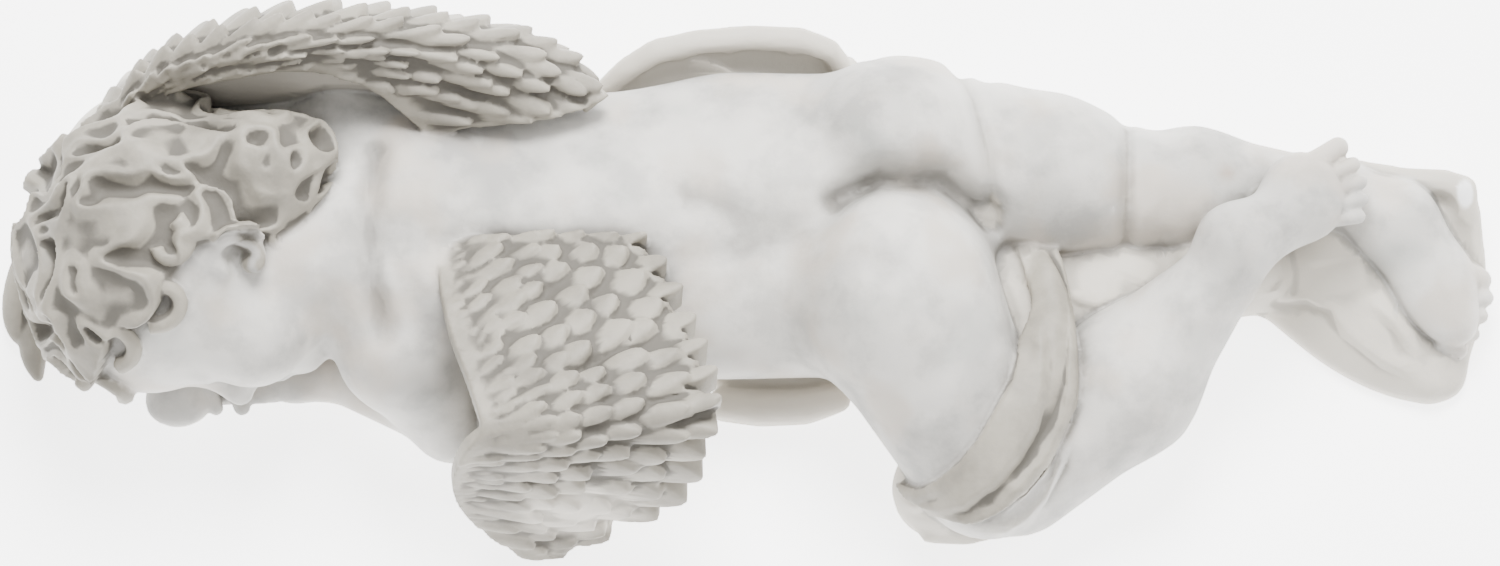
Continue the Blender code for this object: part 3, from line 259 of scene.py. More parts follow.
EDGE_DROP = 0.45
EDGE_SLOPE = 9.0
EDGE_REACH = 60.0
EDGE_FOOT = 0.6
EDGE_STEEP = 0.5
# How many pleats the broad folds have, and a pleat's radius as a share of its fold's.
PLEATS = {"drape_hem": 2}
PLEAT_SHARE = 0.40
# Below this height the outline of whatever touches the table runs straight down to it.
FOOTPRINT = 14.0

# Toes and fingers: (base, tip, radius at the base, radius at the tip).
FAR_TOES = (
    ((716, 2, 42), (735, -5, 37), 14, 12),
    ((720, -19, 40), (740, -23, 36), 10, 9),
    ((716, -36, 38), (735, -41, 34), 9.5, 8.5),
    ((708, -52, 36), (727, -59, 31), 9, 8),
    ((698, -67, 34), (715, -76, 29), 8.5, 7.5),
)
NEAR_TOES = (
    ((566, 94, 136), (588, 110, 133), 13, 11),
    ((586, 84, 136), (603, 93, 133), 8.5, 7.8),
    ((592, 68, 136), (610, 75, 133), 8.2, 7.5),
    ((592, 52, 135), (611, 57, 132), 8, 7.2),
    ((588, 37, 134), (608, 40, 131), 8, 7.2),
)
FINGERS = (
    ((-561, -100, 38), (-554, -124, 28), 7, 6),
    ((-547, -100, 42), (-537, -134, 25), 9, 7.5),
    ((-523, -100, 42), (-511, -133, 25), 10, 8.5),
    ((-498, -100, 36), (-489, -124, 26), 9, 6),
    ((-463, -98, 34), (-457, -115, 28), 7, 5),
    ((-570, -118, 13), (-480, -112, 13), 13, 13),
    ((-480, -104, 26), (-520, -110, 30), 12, 9),
    ((-478, -116, 23), (-516, -122, 26), 12, 9),
)

# The head has its own axes: its left side faces up, and its face looks down towards the table.
HEAD_CENTRE = Vector((-562, -2, 150))
FACE_DIP = math.radians(25)
CROWN_LIFT = math.radians(4)
HEAD_MASSES = {
    "cranium": ((0, -6, 24), (114, 134, 128), 0),
    "brow": ((0, 46, 38), (84, 92, 80), 30),
    "jaw": ((0, 36, -66), (86, 82, 82), 35),
    "near_cheek": ((54, 68, -66), (50, 54, 56), 22),
    "far_cheek": ((-54, 68, -66), (50, 54, 56), 22),
    "under_chin": ((0, 44, -112), (62, 54, 40), 24),
    "chin": ((0, 98, -118), (28, 22, 22), 22),
    "near_lid": ((38, 104, -20), (27, 20, 19), 7),
    "far_lid": ((-38, 104, -20), (27, 20, 19), 7),
}
HEAD_LIMBS = {
    "nose_bridge": ((0, 118, -6, 11), (0, 138, -52, 12), 16),
    "nose_tip": ((0, 138, -54, 14), (0, 141, -57, 14), 7),
    "near_nostril": ((11, 131, -61, 8), (14, 128, -61, 8), 5),
    "far_nostril": ((-11, 131, -61, 8), (-14, 128, -61, 8), 5),
    "upper_lip_near": ((1, 127, -84, 7), (22, 117, -89, 4), 6),
    "upper_lip_far": ((-1, 127, -84, 7), (-22, 117, -89, 4), 6),
    "lower_lip": ((-12, 121, -98, 7), (12, 121, -98, 7), 6),
}
# The left ear: its rim is an arc round a hollow, open towards the cheek, with a lobe at its lower end.
EAR_CENTRE = (96, -24, -50)
EAR_HEIGHT, EAR_DEPTH, EAR_RIM = 27, 19, 7.5
EAR_LIFT, EAR_FLARE = 11.0, 4.0
EAR_START, EAR_SWEEP = math.radians(-60), math.radians(270)
EAR_LOBE = 10
EAR_STEPS = 9
EAR_FILLET, LOBE_FILLET = 5.0, 6.0
# Hollows cut into the head, as limbs: the closed eyes, the mouth and the ear.
CUTS = (
    ((16, 121, -27, 2.2), (38, 126, -33, 2.6), (60, 110, -27, 2.2)),
    ((-16, 121, -27, 2.2), (-38, 126, -33, 2.6), (-60, 110, -27, 2.2)),
    ((-20, 122, -92, 2.0), (0, 130, -91.5, 2.4), (20, 122, -92, 2.0)),
    ((101, -20, -44, 9), (100, -26, -60, 8)),
)
CUT_FILLET = 4.0
HEAD_FILLET = 16.0
DIGIT_FILLET = 3.0

# Dents in the flesh, (points, width, depth), measured in plan on what lies above DENT_FLOOR.
DENTS = (
    (((-400, 5), (-250, -2), (-120, -6), (20, 4), (70, 24)), 26, 9),
    (((84, 44), (130, 66), (190, 66), (236, 40)), 15, 24),
    (((10, 30), (-60, 44)), 22, 8),
    (((206, 190), (222, 150), (236, 96), (244, 40)), 8, 11),
    (((232, 186), (252, 140), (260, 80)), 10, 5),
    (((378, 150), (377, 90), (376, 30), (376, 0)), 8, 13),
    (((396, 140), (396, 60)), 7, 4),
    (((132, -38), (140, -34)), 20, 6),
    (((-372, 90), (-378, 30), (-374, -40), (-360, -92)), 13, 13),
    (((-345, -20), (-322, -70), (-300, -120)), 16, 8),
    (((150, 176), (126, 186)), 12, 5),
    (((466, 48), (492, -22)), 6, 6),
)
DENT_FLOOR = 70.0
DENT_FADE = 40.0

# A wing is a curved sheet. Each row below runs along its span, from the back to the tip, as (x, y, z).
NEAR_WING = {"outside": 1, "lines": (
    (
        (-303, 8, 196), (-308, -30, 214), (-296, -94, 248), (-274, -162, 276), (-264, -208, 284),
        (-284, -234, 246), (-294, -249, 165), (-278, -264, 80), (-230, -275, 16),
    ),
    (
        (-102, 4, 194), (-72, -42, 206), (-50, -98, 230), (-32, -146, 256), (-28, -186, 266),
        (-44, -210, 226), (-53, -228, 138), (-108, -247, 56), (-195, -276, 12),
    ),
)}
FAR_WING = {"outside": -1, "lines": (
    (
        (-318, 104, 196), (-348, 124, 224), (-376, 140, 248), (-412, 150, 262), (-460, 152, 268),
        (-512, 146, 262), (-562, 142, 236), (-618, 134, 180), (-670, 92, 100), (-698, 30, 46), (-706, -40, 22),
    ),
    (
        (-166, 140, 190), (-194, 170, 216), (-242, 192, 240), (-306, 204, 258), (-374, 210, 268),
        (-446, 211, 271), (-516, 200, 260), (-582, 178, 226), (-648, 128, 144), (-704, 58, 70), (-722, -30, 24),
    ),
    (
        (-170, 144, 176), (-204, 184, 146), (-254, 218, 100), (-322, 238, 58), (-396, 246, 34),
        (-466, 245, 24), (-542, 230, 20), (-614, 194, 18), (-672, 148, 14), (-716, 78, 12), (-728, -10, 8),
    ),
)}
# The rows of feathers, from the front edge back: (place of the tips across the wing, length, half width).
NEAR_ROWS = (
    (0.06, 26, 4.5), (0.12, 32, 5.5), (0.20, 44, 8), (0.31, 62, 12), (0.43, 74, 15), (0.56, 84, 17), (0.70, 92, 18),
    (0.85, 98, 19), (1.00, 104, 20),
)
FAR_ROWS = (
    (0.06, 34, 7), (0.14, 50, 10), (0.24, 70, 13), (0.37, 80, 16), (0.51, 88, 18), (0.66, 94, 19), (0.83, 104, 21),
    (1.00, 112, 22),
)
# How far the feathers swing back towards the wing's first end, in degrees, at places along the span.
NEAR_SWING = ((0.0, 0.35, 0.6, 1.0), (32, 24, 12, -10))
FAR_SWING = ((0.0, 0.3, 0.5, 1.0), (62, 56, 42, 28))
FEATHER_SPACING = 1.75
FEATHER_SEED = 11
FEATHERS_PAST = 5
FEATHER_BED = 5.0
FEATHER_STRAY = 0.14
FEATHER_RAG = 8.0
FEATHER_LENGTHS, FEATHER_WIDTHS = (0.92, 1.10), (0.92, 1.14)
FEATHER_WAIST = 0.14
FEATHER_FULL = 16.0
WING_SHORTEST = 0.8
MEASURE_STEPS = 25
SLOPE_STEP = 0.01
FEATHER_RISE = 21.0
FEATHER_SINK = 9.0
FEATHER_CURL = 1.2
FEATHER_CAMBER = 6.0
FEATHER_TILT = 2.2
FEATHER_RIM = 5.0
FEATHER_POINT = 0.55
FEATHER_THICKNESS = 12.0
WING_THICKNESS = 20.0
# The two long flight feathers that come out past the crown: centreline points with half widths.
FLIGHT_FEATHERS = (
    ((-716, 60, 40, 12), (-734, 0, 26, 17), (-740, -40, 18, 14), (-736, -66, 12, 6)),
    ((-704, 30, 34, 12), (-718, -30, 24, 17), (-722, -74, 16, 15), (-716, -104, 10, 6)),
)
FLIGHT_FACE = (-0.5, 0.2, 0.84)
FLIGHT_BLUNT = 0.55

# Hair: wavy locks over the skull with bare hollows between them, and curls along the hairline.
HAIR_CELL = (29.0, 33.0, 37.0)
HAIR_WIND = 0.75
HAIR_WIND_CELL = 0.7
HAIR_SWELL, HAIR_SWELL_CELL = 0.6, 60.0
HAIR_CREST = 0.2
# The rise of the noise from a pit to a lock's body, and that body's share of the height.
HAIR_BODY, HAIR_BODY_SHARE = 0.4, 0.42
HAIR_BASE = -3.0
HAIR_RELIEF = 30.0
HAIR_EDGE = 0.07
HAIR_RAG = 0.16
HAIR_SUNK = 12.0
# Hair that lies over the nape, as a mass in head axes: centre, radii, fillet.
NAPE_HAIR = ((42, -94, -74), (54, 50, 58), 40)
CURL_POINTS = 11
CURL_LIFT = 6.0
CURL_OPEN, CURL_CLOSED = 1.25, 0.5
CURL_TAPER = 0.3
NAPE_UP, NAPE_SLOPE = 1.0, 0.2
# The scalp is found by walking in from this far out, in steps of this share of what is left.
SCALP_START, SCALP_PACE, SCALP_STEPS = 230.0, 0.9, 18
SKULL_RADIUS = 130.0
# The hairline on the side of the face: for a share of the way up the head, how far forward the hair comes.
HAIRLINE_UP = (-0.86, -0.3, 0.0, 0.25, 0.53, 0.62)
HAIRLINE_FORWARD = (-0.24, -0.38, -0.20, 0.24, 0.46, 1.6)
# Curls: (middle as a head-axes direction, radius, start angle and turn in degrees, thickness).
CURLS = (
    ((0.86, 0.16, 0.20), 24, 200, -250, 10.0),
    ((0.66, 0.50, 0.52), 22, 160, -240, 9.5),
    ((0.20, 0.84, 0.56), 22, 120, -240, 9.5),
    ((0.90, -0.28, 0.16), 22, 20, 230, 9.5),
    ((-0.50, 0.62, 0.62), 20, 120, 240, 9.0),
    ((0.34, -0.52, -0.78), 24, 20, 250, 9.0),
    ((0.56, -0.36, -0.74), 22, 60, 250, 9.0),
)


def clear_scene():
    for obj in list(bpy.data.objects):
        bpy.data.objects.remove(obj)


def unit(vector):
    vector = np.asarray(vector, float)
    return vector / np.linalg.norm(vector)


def head_axes():
    """The head's left, forward and up directions, one to a row."""
    up = np.array([-math.cos(CROWN_LIFT), 0.0, math.sin(CROWN_LIFT)])
    forward = np.array([0.0, -math.cos(FACE_DIP), -math.sin(FACE_DIP)])
    forward = unit(forward - up * (forward @ up))
    return np.array([np.cross(up, forward), forward, up])


HEAD_AXES = head_axes()


def smooth_min(a, b, fillet):
    """The smaller of two distances, with a fillet of this size where they meet."""
    if fillet <= 0:
        return np.minimum(a, b)
    h = np.maximum(fillet - np.abs(a - b), 0) / fillet
    return np.minimum(a, b) - h * h * fillet / 4


def mass_distance(points, centre, radii, turn):
    """How far points lie outside a round mass that is turned about Z."""
    local = points - np.array(centre, float)
    if turn:
        c, s = math.cos(math.radians(turn)), math.sin(math.radians(turn))
        x = local[:, 0] * c + local[:, 1] * s
        y = local[:, 1] * c - local[:, 0] * s
        local = np.stack([x, y, local[:, 2]], axis=1)
    radii = np.array(radii, float)
    near = np.linalg.norm(local / radii, axis=1)
    slope = np.linalg.norm(local / radii**2, axis=1)
    return near * (near - 1) / np.maximum(slope, TINY)


def limb_distance(points, start, end):
    """How far points lie outside a tapered limb with round ends."""
    a, b = np.array(start[:3], float), np.array(end[:3], float)
    along = b - a
    t = np.clip((points - a) @ along / max(along @ along, TINY), 0, 1)
    return np.linalg.norm(points - a - t[:, None] * along, axis=1) - (start[3] + (end[3] - start[3]) * t)


def group_distance(points, group):
    found = None
    for centre, radii, turn, fillet in group["masses"].values():
        d = mass_distance(points, centre, radii, turn)
        found = d if found is None else smooth_min(found, d, fillet)
    for start, end, fillet in group["limbs"].values():
        d = limb_distance(points, start, end)
        found = smooth_min(found, d, fillet)
    return found


def digits_distance(points, digits):
    found = np.full(len(points), FAR_OFF)
    for base, tip, thick, thin in digits:
        found = smooth_min(found, limb_distance(points, (*base, thick), (*tip, thin)), DIGIT_FILLET)
    return found


def ear_rim(share):
    """A point on the ear's rim, with the rim's radius, for a share of the way from its front root to its lobe."""
    angle = EAR_START + EAR_SWEEP * share
    side, forward, up = EAR_CENTRE
    return (
        side + EAR_LIFT - EAR_FLARE * math.cos(angle),
        forward - EAR_DEPTH * math.sin(angle),
        up + EAR_HEIGHT * math.cos(angle),
        EAR_RIM,
    )


def head_distance(points):
    local = (points - np.array(HEAD_CENTRE)) @ HEAD_AXES.T
    found = None
    for centre, radii, fillet in HEAD_MASSES.values():
        d = mass_distance(local, centre, radii, 0)
        found = d if found is None else smooth_min(found, d, fillet)
    for start, end, fillet in HEAD_LIMBS.values():
        found = smooth_min(found, limb_distance(local, start, end), fillet)
    rim = [ear_rim(share) for share in np.linspace(0, 1, round(EAR_STEPS) + 1)]
    for start, end in zip(rim, rim[1:]):
        found = smooth_min(found, limb_distance(local, start, end), EAR_FILLET)
    lobe = (*rim[-1][:3], EAR_LOBE)
    found = smooth_min(found, limb_distance(local, lobe, lobe), LOBE_FILLET)
    for line in CUTS:
        for start, end in zip(line, line[1:]):
            found = -smooth_min(-found, limb_distance(local, start, end), CUT_FILLET)
    return found


def polyline_distance(points, line):
    found = np.full(len(points), FAR_OFF)
    for a, b in zip(line, line[1:]):
        a, b = np.array(a, float), np.array(b, float)
        along = b - a
        t = np.clip((points - a) @ along / max(along @ along, TINY), 0, 1)
        found = np.minimum(found, np.linalg.norm(points - a - t[:, None] * along, axis=1))
    return found


def dent_share(points, line, width):
    """How far, from 0 to 1, points lie in a dent, on the upper side of the figure."""
    above = np.clip((points[:, 2] - DENT_FLOOR) / DENT_FADE, 0, 1)
    return above * np.exp(-((polyline_distance(points[:, :2], line) / width) ** 2))


def on_footprint(points):
    """Points below the footprint's height are measured as if they lay at it, so its outline runs straight down."""
    raised = points.copy()
    raised[:, 2] = np.maximum(raised[:, 2], FOOTPRINT)
    return raised


def fold_lines():
    """Every fold's line, the pleated ones as several thinner lines side by side."""
    lines = []
    for name, line in FOLDS.items():
        count = round(PLEATS.get(name, 1))
        line = np.array(line, float)
        if count == 1:
            lines.append(line)
            continue
        ahead = np.gradient(line[:, :2], axis=0)
        side = np.stack([-ahead[:, 1], ahead[:, 0]], axis=1) / np.linalg.norm(ahead, axis=1)[:, None]
        for i in range(count):
            offset = (2 * i / (count - 1) - 1) * (1 - PLEAT_SHARE)
            pleat = line.copy()
            pleat[:, :2] += side * (line[:, 3] * offset)[:, None]
            pleat[:, 2] += line[:, 3] * (1 - PLEAT_SHARE) * (1 - abs(offset))
            pleat[:, 3] = line[:, 3] * PLEAT_SHARE
            lines.append(pleat)
    return lines


def cloth_distance(points):
    """How far points, in plan units, lie outside the drapery."""
    points = on_footprint(points)
    found = np.full(len(points), FAR_OFF)
    for centre, radii, turn in SHEETS.values():
        found = smooth_min(found, mass_distance(points, centre, radii, turn), SHEET_FILLET)
    for line in fold_lines():
        fold = np.full(len(points), FAR_OFF)
        for start, end in zip(line, line[1:]):
            fold = np.minimum(fold, limb_distance(points, start, end))
        found = smooth_min(found, fold, FOLD_FILLET)
    return found


def flesh_distance(points):
    """How far points, in plan units, lie outside the flesh."""
    points = on_footprint(points)
    found = group_distance(points, TRUNK)
    for line, width, depth in DENTS:
        found = found + depth * dent_share(points, line, width)
    head = head_distance(points)
    found = smooth_min(found, head, HEAD_FILLET)
    for group in (FAR_LEG, NEAR_LEG, NEAR_ARM, FAR_ARM):
        found = smooth_min(found, group_distance(points, group), group["join"])
    return found


def ball_template(segments, rings):
    """A unit ball's points and faces, its poles on the X axis."""
    shape = bmesh.new()
    bmesh.ops.create_uvsphere(shape, u_segments=segments, v_segments=rings, radius=1)
    points = np.array([v.co for v in shape.verts])[:, [2, 0, 1]]
    faces = [[v.index for v in f.verts] for f in shape.faces]
    shape.free()
    return points, faces


class Clay:
    """Closed shapes gathered into one mesh, in plan units."""

    def __init__(self):
        self.points, self.faces, self.count = [], [], 0

    def add(self, points, faces):
        self.points.append(np.asarray(points, float))
        self.faces.extend([[i + self.count for i in face] for face in faces])
        self.count += len(points)

    def add_limb(self, start, end, template):
        """A tapered limb with round ends: each half of a ball goes to one end."""
        ball, faces = template
        a, b = np.array(start[:3], float), np.array(end[:3], float)
        axis = unit(b - a)
        far = (ball @ axis > 0)[:, None]
        self.add(np.where(far, b + ball * end[3], a + ball * start[3]), faces)

    def object(self, name):
        mesh = bpy.data.meshes.new(name)
        mesh.from_pydata((np.concatenate(self.points) * UNIT).tolist(), [], self.faces)
        obj = bpy.data.objects.new(name, mesh)
        bpy.context.scene.collection.objects.link(obj)
        return obj


def evaluated(obj, *modifiers):
    """The object's mesh with these modifiers applied, each as (type, settings)."""
    for kind, settings in modifiers:
        modifier = obj.modifiers.new(kind.title(), kind)
        for key, value in settings.items():
            setattr(modifier, key, value)
    graph = bpy.context.evaluated_depsgraph_get()
    mesh = bpy.data.meshes.new_from_object(obj.evaluated_get(graph))
    old = obj.data
    obj.modifiers.clear()
    obj.data = mesh
    bpy.data.meshes.remove(old)
    return obj


def coordinates(mesh):
    points = np.empty(len(mesh.vertices) * 3)
    mesh.vertices.foreach_get("co", points)
    return points.reshape(-1, 3)


def normals(mesh):
    found = np.empty(len(mesh.vertices) * 3)
    mesh.vertex_normals.foreach_get("vector", found)
    return found.reshape(-1, 3)


def set_coordinates(mesh, points):
    mesh.vertices.foreach_set("co", points.astype(np.float32).ravel())
    mesh.update()


def rough_flesh():
    """Every mass and limb as a ball or capsule of its own, before they melt into each other."""
    clay = Clay()
    template = ball_template(*BALL_FINE)
    for group in (TRUNK, FAR_LEG, NEAR_LEG, NEAR_ARM, FAR_ARM):
        for centre, radii, turn, _ in group["masses"].values():
            c, s = math.cos(math.radians(turn)), math.sin(math.radians(turn))
            ball = template[0] * np.array(radii, float)
            x, y = ball[:, 0] * c - ball[:, 1] * s, ball[:, 0] * s + ball[:, 1] * c
            clay.add(np.stack([x, y, ball[:, 2]], axis=1) + np.array(centre, float), template[1])
        for start, end, _ in group["limbs"].values():
            clay.add_limb(start, end, template)
    centre = np.array(HEAD_CENTRE)
    for middle, radii, _ in HEAD_MASSES.values():
        clay.add((template[0] * np.array(radii, float) + np.array(middle, float)) @ HEAD_AXES + centre, template[1])
    for start, end, _ in HEAD_LIMBS.values():
        a = (*(np.array(start[:3], float) @ HEAD_AXES + centre), start[3])
        b = (*(np.array(end[:3], float) @ HEAD_AXES + centre), end[3])
        clay.add_limb(a, b, template)
    return clay.object("flesh")


def rough_cloth():
    clay = Clay()
    template = ball_template(*BALL_COARSE)
    for centre, radii, turn in SHEETS.values():
        c, s = math.cos(math.radians(turn)), math.sin(math.radians(turn))
        ball = template[0] * np.array(radii, float)
        x, y = ball[:, 0] * c - ball[:, 1] * s, ball[:, 0] * s + ball[:, 1] * c
        clay.add(np.stack([x, y, ball[:, 2]], axis=1) + np.array(centre, float), template[1])
    for line in fold_lines():
        for start, end in zip(line, line[1:]):
            clay.add_limb(start, end, template)
    return clay.object("cloth")


def melt(rough, distance, voxel):
    """One skin round the rough shapes, drawn onto the surface where the given distance is nought."""
    evaluated(rough, ("REMESH", {"mode": "VOXEL", "voxel_size": voxel}))
    for _ in range(round(MELT_ROUNDS)):
        for _ in range(round(MELT_STEPS)):
            points = coordinates(rough.data)
            step = np.clip(distance(points / UNIT), -MELT_REACH, MELT_REACH)[:, None] * UNIT
            set_coordinates(rough.data, points - normals(rough.data) * step)
        evaluated(rough, ("REMESH", {"mode": "VOXEL", "voxel_size": voxel}))
    return rough


def spline(rows, share):
    """Points on the smooth curve through rows, at shares from 0 to 1 of the way along it. Shares outside run on."""
    rows = np.asarray(rows, float)
    t = np.asarray(share, float) * (len(rows) - 1)
    i = np.clip(np.floor(t).astype(int), 0, len(rows) - 2)
    f = (t - i)[:, None]
    before = rows[np.maximum(i - 1, 0)]
    after = rows[np.minimum(i + 2, len(rows) - 1)]
    a, b = rows[i], rows[i + 1]
    inside = np.clip(f, 0, 1)
    curve = 0.5 * (
        2 * a
        + (b - before) * inside
        + (2 * before - 5 * a + 4 * b - after) * inside**2
        + (3 * (a - b) + after - before) * inside**3
    )
    return curve + (f - inside) * (b - a)


def wing_point(wing, u, v):
    """The point at share u of the span and v of the way from the wing's front edge to its back edge."""
    lines = [spline(line, np.clip(u, 0, 1)) for line in wing["lines"]]
    if len(lines) == 2:
        return lines[0] + (lines[1] - lines[0]) * v[:, None]
    stacked = np.stack(lines)
    t = np.clip(v, 0, 1)[:, None]
    first, middle, last = stacked
    bend = middle * 2 - (first + last) / 2
    curve = first * (1 - t) ** 2 + bend * 2 * t * (1 - t) + last * t**2
    over = np.where(v > 1, v - 1, np.minimum(v, 0))[:, None]
    return curve + over * np.where(v[:, None] > 1, 2 * (last - bend), 2 * (bend - first))


def wing_surface(wing, u, v, height):
    """Points at a height above the wing's sheet."""
    step = SLOPE_STEP
    along = wing_point(wing, u + step, v) - wing_point(wing, u - step, v)
    across = wing_point(wing, u, v + step) - wing_point(wing, u, v - step)
    normal = np.cross(across, along)
    normal /= np.maximum(np.linalg.norm(normal, axis=1), TINY)[:, None]
    return wing_point(wing, u, v) - normal * height[:, None] * wing["outside"]


def wing_span(wing, v):
    """The wing's length along its span, at share v across it."""
    u = np.linspace(0, 1, MEASURE_STEPS)
    line = wing_point(wing, u, np.full(MEASURE_STEPS, v))
    return np.linalg.norm(np.diff(line, axis=0), axis=1).sum()


def wing_width(wing, u):
    """The wing's width from front to back edge, at share u along its span."""
    v = np.linspace(0, 1, MEASURE_STEPS)
    line = wing_point(wing, np.full(MEASURE_STEPS, u), v)
    return np.linalg.norm(np.diff(line, axis=0), axis=1).sum()


def feather_places(wing, rows, swing):
    """Each feather as (place of its tip along and across the wing, length, half width, angle)."""
    vary = random.Random(FEATHER_SEED)
    places = []
    lean = math.cos(math.radians(np.interp(0.5, *swing)))
    for row, (tip, length, half) in enumerate(rows):
        span = wing_span(wing, tip)
        count = max(2, round(span * lean / (half * FEATHER_SPACING)))
        for i in range(-FEATHERS_PAST, count + FEATHERS_PAST):
            u = (i + (0.25 if row % 2 else 0.75) + vary.uniform(-FEATHER_STRAY, FEATHER_STRAY)) / count
            width = wing_width(wing, min(max(u, 0), 1))
            end = tip if tip == 1 else tip + vary.uniform(-FEATHER_RAG, FEATHER_RAG) / width
            angle = math.radians(np.interp(u, *swing))
            u -= math.tan(angle) * (tip - 0.5) * width / span
            angle += vary.uniform(-FEATHER_STRAY, FEATHER_STRAY)
            places.append((u, end, length * vary.uniform(*FEATHER_LENGTHS), half * vary.uniform(*FEATHER_WIDTHS), angle))
    return places


def feather_outline(share):
    """A feather's half width along it, 1 at its widest: even, then rounded to its tip."""
    past = np.clip((share - FEATHER_POINT) / (1 - FEATHER_POINT), 0, 1)
    return np.sqrt(np.clip(1 - past**2, 0, 1)) * (1 - FEATHER_WAIST * np.clip(1 - share / FEATHER_POINT, 0, 1))


def feather_heights(wing, places, u, v):
    """How high the feathers stand over the wing's sheet; each rises to its tip and lies over the roots behind it."""
    steps = np.linspace(0, 1, MEASURE_STEPS)
    spans = np.interp(v, steps, [wing_span(wing, step) for step in steps])
    widths = np.interp(u, steps, [wing_width(wing, step) for step in steps])
    height = np.full(len(u), FEATHER_BED)
    for centre, tip, length, half, angle in places:
        back, aside = (tip - v) * widths, (u - centre) * spans
        share = 1 - (back * math.cos(angle) + aside * math.sin(angle)) / length
        across = aside * math.cos(angle) - back * math.sin(angle)
        near = np.flatnonzero((share > 0) & (share < 1) & (np.abs(across) < half))
        share, across = share[near], across[near]
        inside = (feather_outline(share) - np.abs(across) / half) * half
        rim = np.clip(inside / FEATHER_RIM, 0, 1)
        size = min(1.0, half / FEATHER_FULL)
        top = FEATHER_RISE * np.clip(share, 0, 1) ** FEATHER_CURL * size - FEATHER_CAMBER * (across / half) ** 2 * size
        top = top + FEATHER_TILT * across / half + FEATHER_CAMBER * size
        height[near] = np.maximum(height[near], top * np.sqrt(rim * (2 - rim)))
    return height


def wing_end(wing, places, u):
    """Where the wing's back edge lies at each place along its span, scalloped by the last feathers."""
    end = np.full(len(u), WING_SHORTEST)
    for centre, tip, length, half, _ in places:
        across = (u - centre) * wing_span(wing, 1) / half
        short = (1 - FEATHER_POINT) * (1 - np.sqrt(np.clip(1 - across**2, 0, 1)))
        end = np.maximum(end, np.where(np.abs(across) < 1, tip - length / wing_width(wing, 0.5) * short, 0))
    return end


def add_flight_feathers(clay, template):
    ball, faces = template
    for line in FLIGHT_FEATHERS:
        line = np.array(line, float)
        along = (ball[:, 0] + 1) / 2
        centre = spline(line, along)
        ahead = spline(line, along + SLOPE_STEP)[:, :3] - spline(line, along - SLOPE_STEP)[:, :3]
        ahead /= np.linalg.norm(ahead, axis=1)[:, None]
        side = np.cross(ahead, np.array(FLIGHT_FACE))
        side /= np.linalg.norm(side, axis=1)[:, None]
        face = np.cross(side, ahead)
        blunt = np.sign(ball[:, 1]) * np.abs(ball[:, 1]) ** FLIGHT_BLUNT
        points = centre[:, :3] + side * (blunt * centre[:, 3])[:, None] + face * (ball[:, 2] * FEATHER_THICKNESS)[:, None]
        clay.add(points, faces)


def add_digits(clay):
    """Fingers and toes, each a body of its own so that the creases between them stay sharp."""
    template = ball_template(*BALL_FINE)
    for base, tip, thick, thin in FAR_TOES + NEAR_TOES + FINGERS:
        clay.add_limb((*base, thick), (*tip, thin), template)


def add_slab(clay, top, under):
    """A closed slab between two grids of points of the same shape."""
    along, across = top.shape[:2]
    size = along * across
    faces = []
    for i in range(along - 1):
        for j in range(across - 1):
            a = i * across + j
            face = [a, a + 1, a + across + 1, a + across]
            faces.append(face)
            faces.append([k + size for k in reversed(face)])
    rim = [j for j in range(across - 1)]
    rim += [(i + 1) * across - 1 for i in range(along - 1)]
    rim += [size - 1 - j for j in range(across - 1)]
    rim += [(along - 1 - i) * across for i in range(along - 1)]
    for a, b in zip(rim, rim[1:] + rim[:1]):
        faces.append([b, a, a + size, b + size])
    clay.add(np.concatenate([top.reshape(-1, 3), under.reshape(-1, 3)]), faces)


def add_wing(clay, wing, rows, swing):
    """A wing: a thick curved sheet with closed edges and rows of feathers raised on its outside."""
    places = feather_places(wing, rows, swing)
    along = round(wing_span(wing, 0.5) / WING_STEP)
    across = round(wing_width(wing, 0.5) / WING_STEP)
    u = np.linspace(0, 1, along)
    end = wing_end(wing, places, u)
    u, share = np.meshgrid(u, np.linspace(0, 1, across), indexing="ij")
    v = share * end[:, None]
    u, v = u.ravel(), v.ravel()
    top = wing_surface(wing, u, v, feather_heights(wing, places, u, v) - FEATHER_SINK)
    under = wing_surface(wing, u, v, np.full(u.size, -WING_THICKNESS))
    add_slab(clay, top.reshape(along, across, 3), under.reshape(along, across, 3))


def add_band(clay, crown, hollow, inner, outer):
    """A band of cloth between two edges, crowned across, hollowed beside its outer edge."""
    along, across = BAND_GRID
    share = np.linspace(0, 1, along)
    first, last = spline(inner, share), spline(outer, share)
    t = np.linspace(0, 1, across)[None, :, None]
    sheet = first[:, None] * (1 - t) + last[:, None] * t
    normal = np.cross(np.gradient(sheet, axis=0), np.gradient(sheet, axis=1))
    normal /= np.maximum(np.linalg.norm(normal, axis=2), TINY)[:, :, None]
    normal *= np.where(normal[:, :, 2:3] < 0, -1.0, 1.0)
    middle = np.sin(share * math.pi)[:, None, None]
    rise = crown * np.sin(t * math.pi) - hollow * middle * np.exp(-(((t - HOLLOW_PLACE) / HOLLOW_WIDTH) ** 2))
    add_slab(clay, sheet + normal * rise, sheet + normal * (rise - BAND_THICKNESS))


def add_cloth_bands(clay):
    for crown, hollow, inner, outer in BANDS.values():
        add_band(clay, crown, hollow, inner, outer)


def scalp_distance(points):
    """How far points lie outside the bare head with the mass of hair at its nape."""
    local = (points - np.array(HEAD_CENTRE)) @ HEAD_AXES.T
    centre, radii, fillet = NAPE_HAIR
    return smooth_min(head_distance(points), mass_distance(local, centre, radii, 0), fillet)


def on_skull(directions):
    """Points on the scalp, in plan units, that lie in these head-axes directions from the head's centre."""
    directions = directions / np.linalg.norm(directions, axis=1)[:, None]
    outward = directions @ HEAD_AXES
    points = np.array(HEAD_CENTRE) + outward * SCALP_START
    for _ in range(round(SCALP_STEPS)):
        points = points - outward * scalp_distance(points)[:, None] * SCALP_PACE
    return points, outward


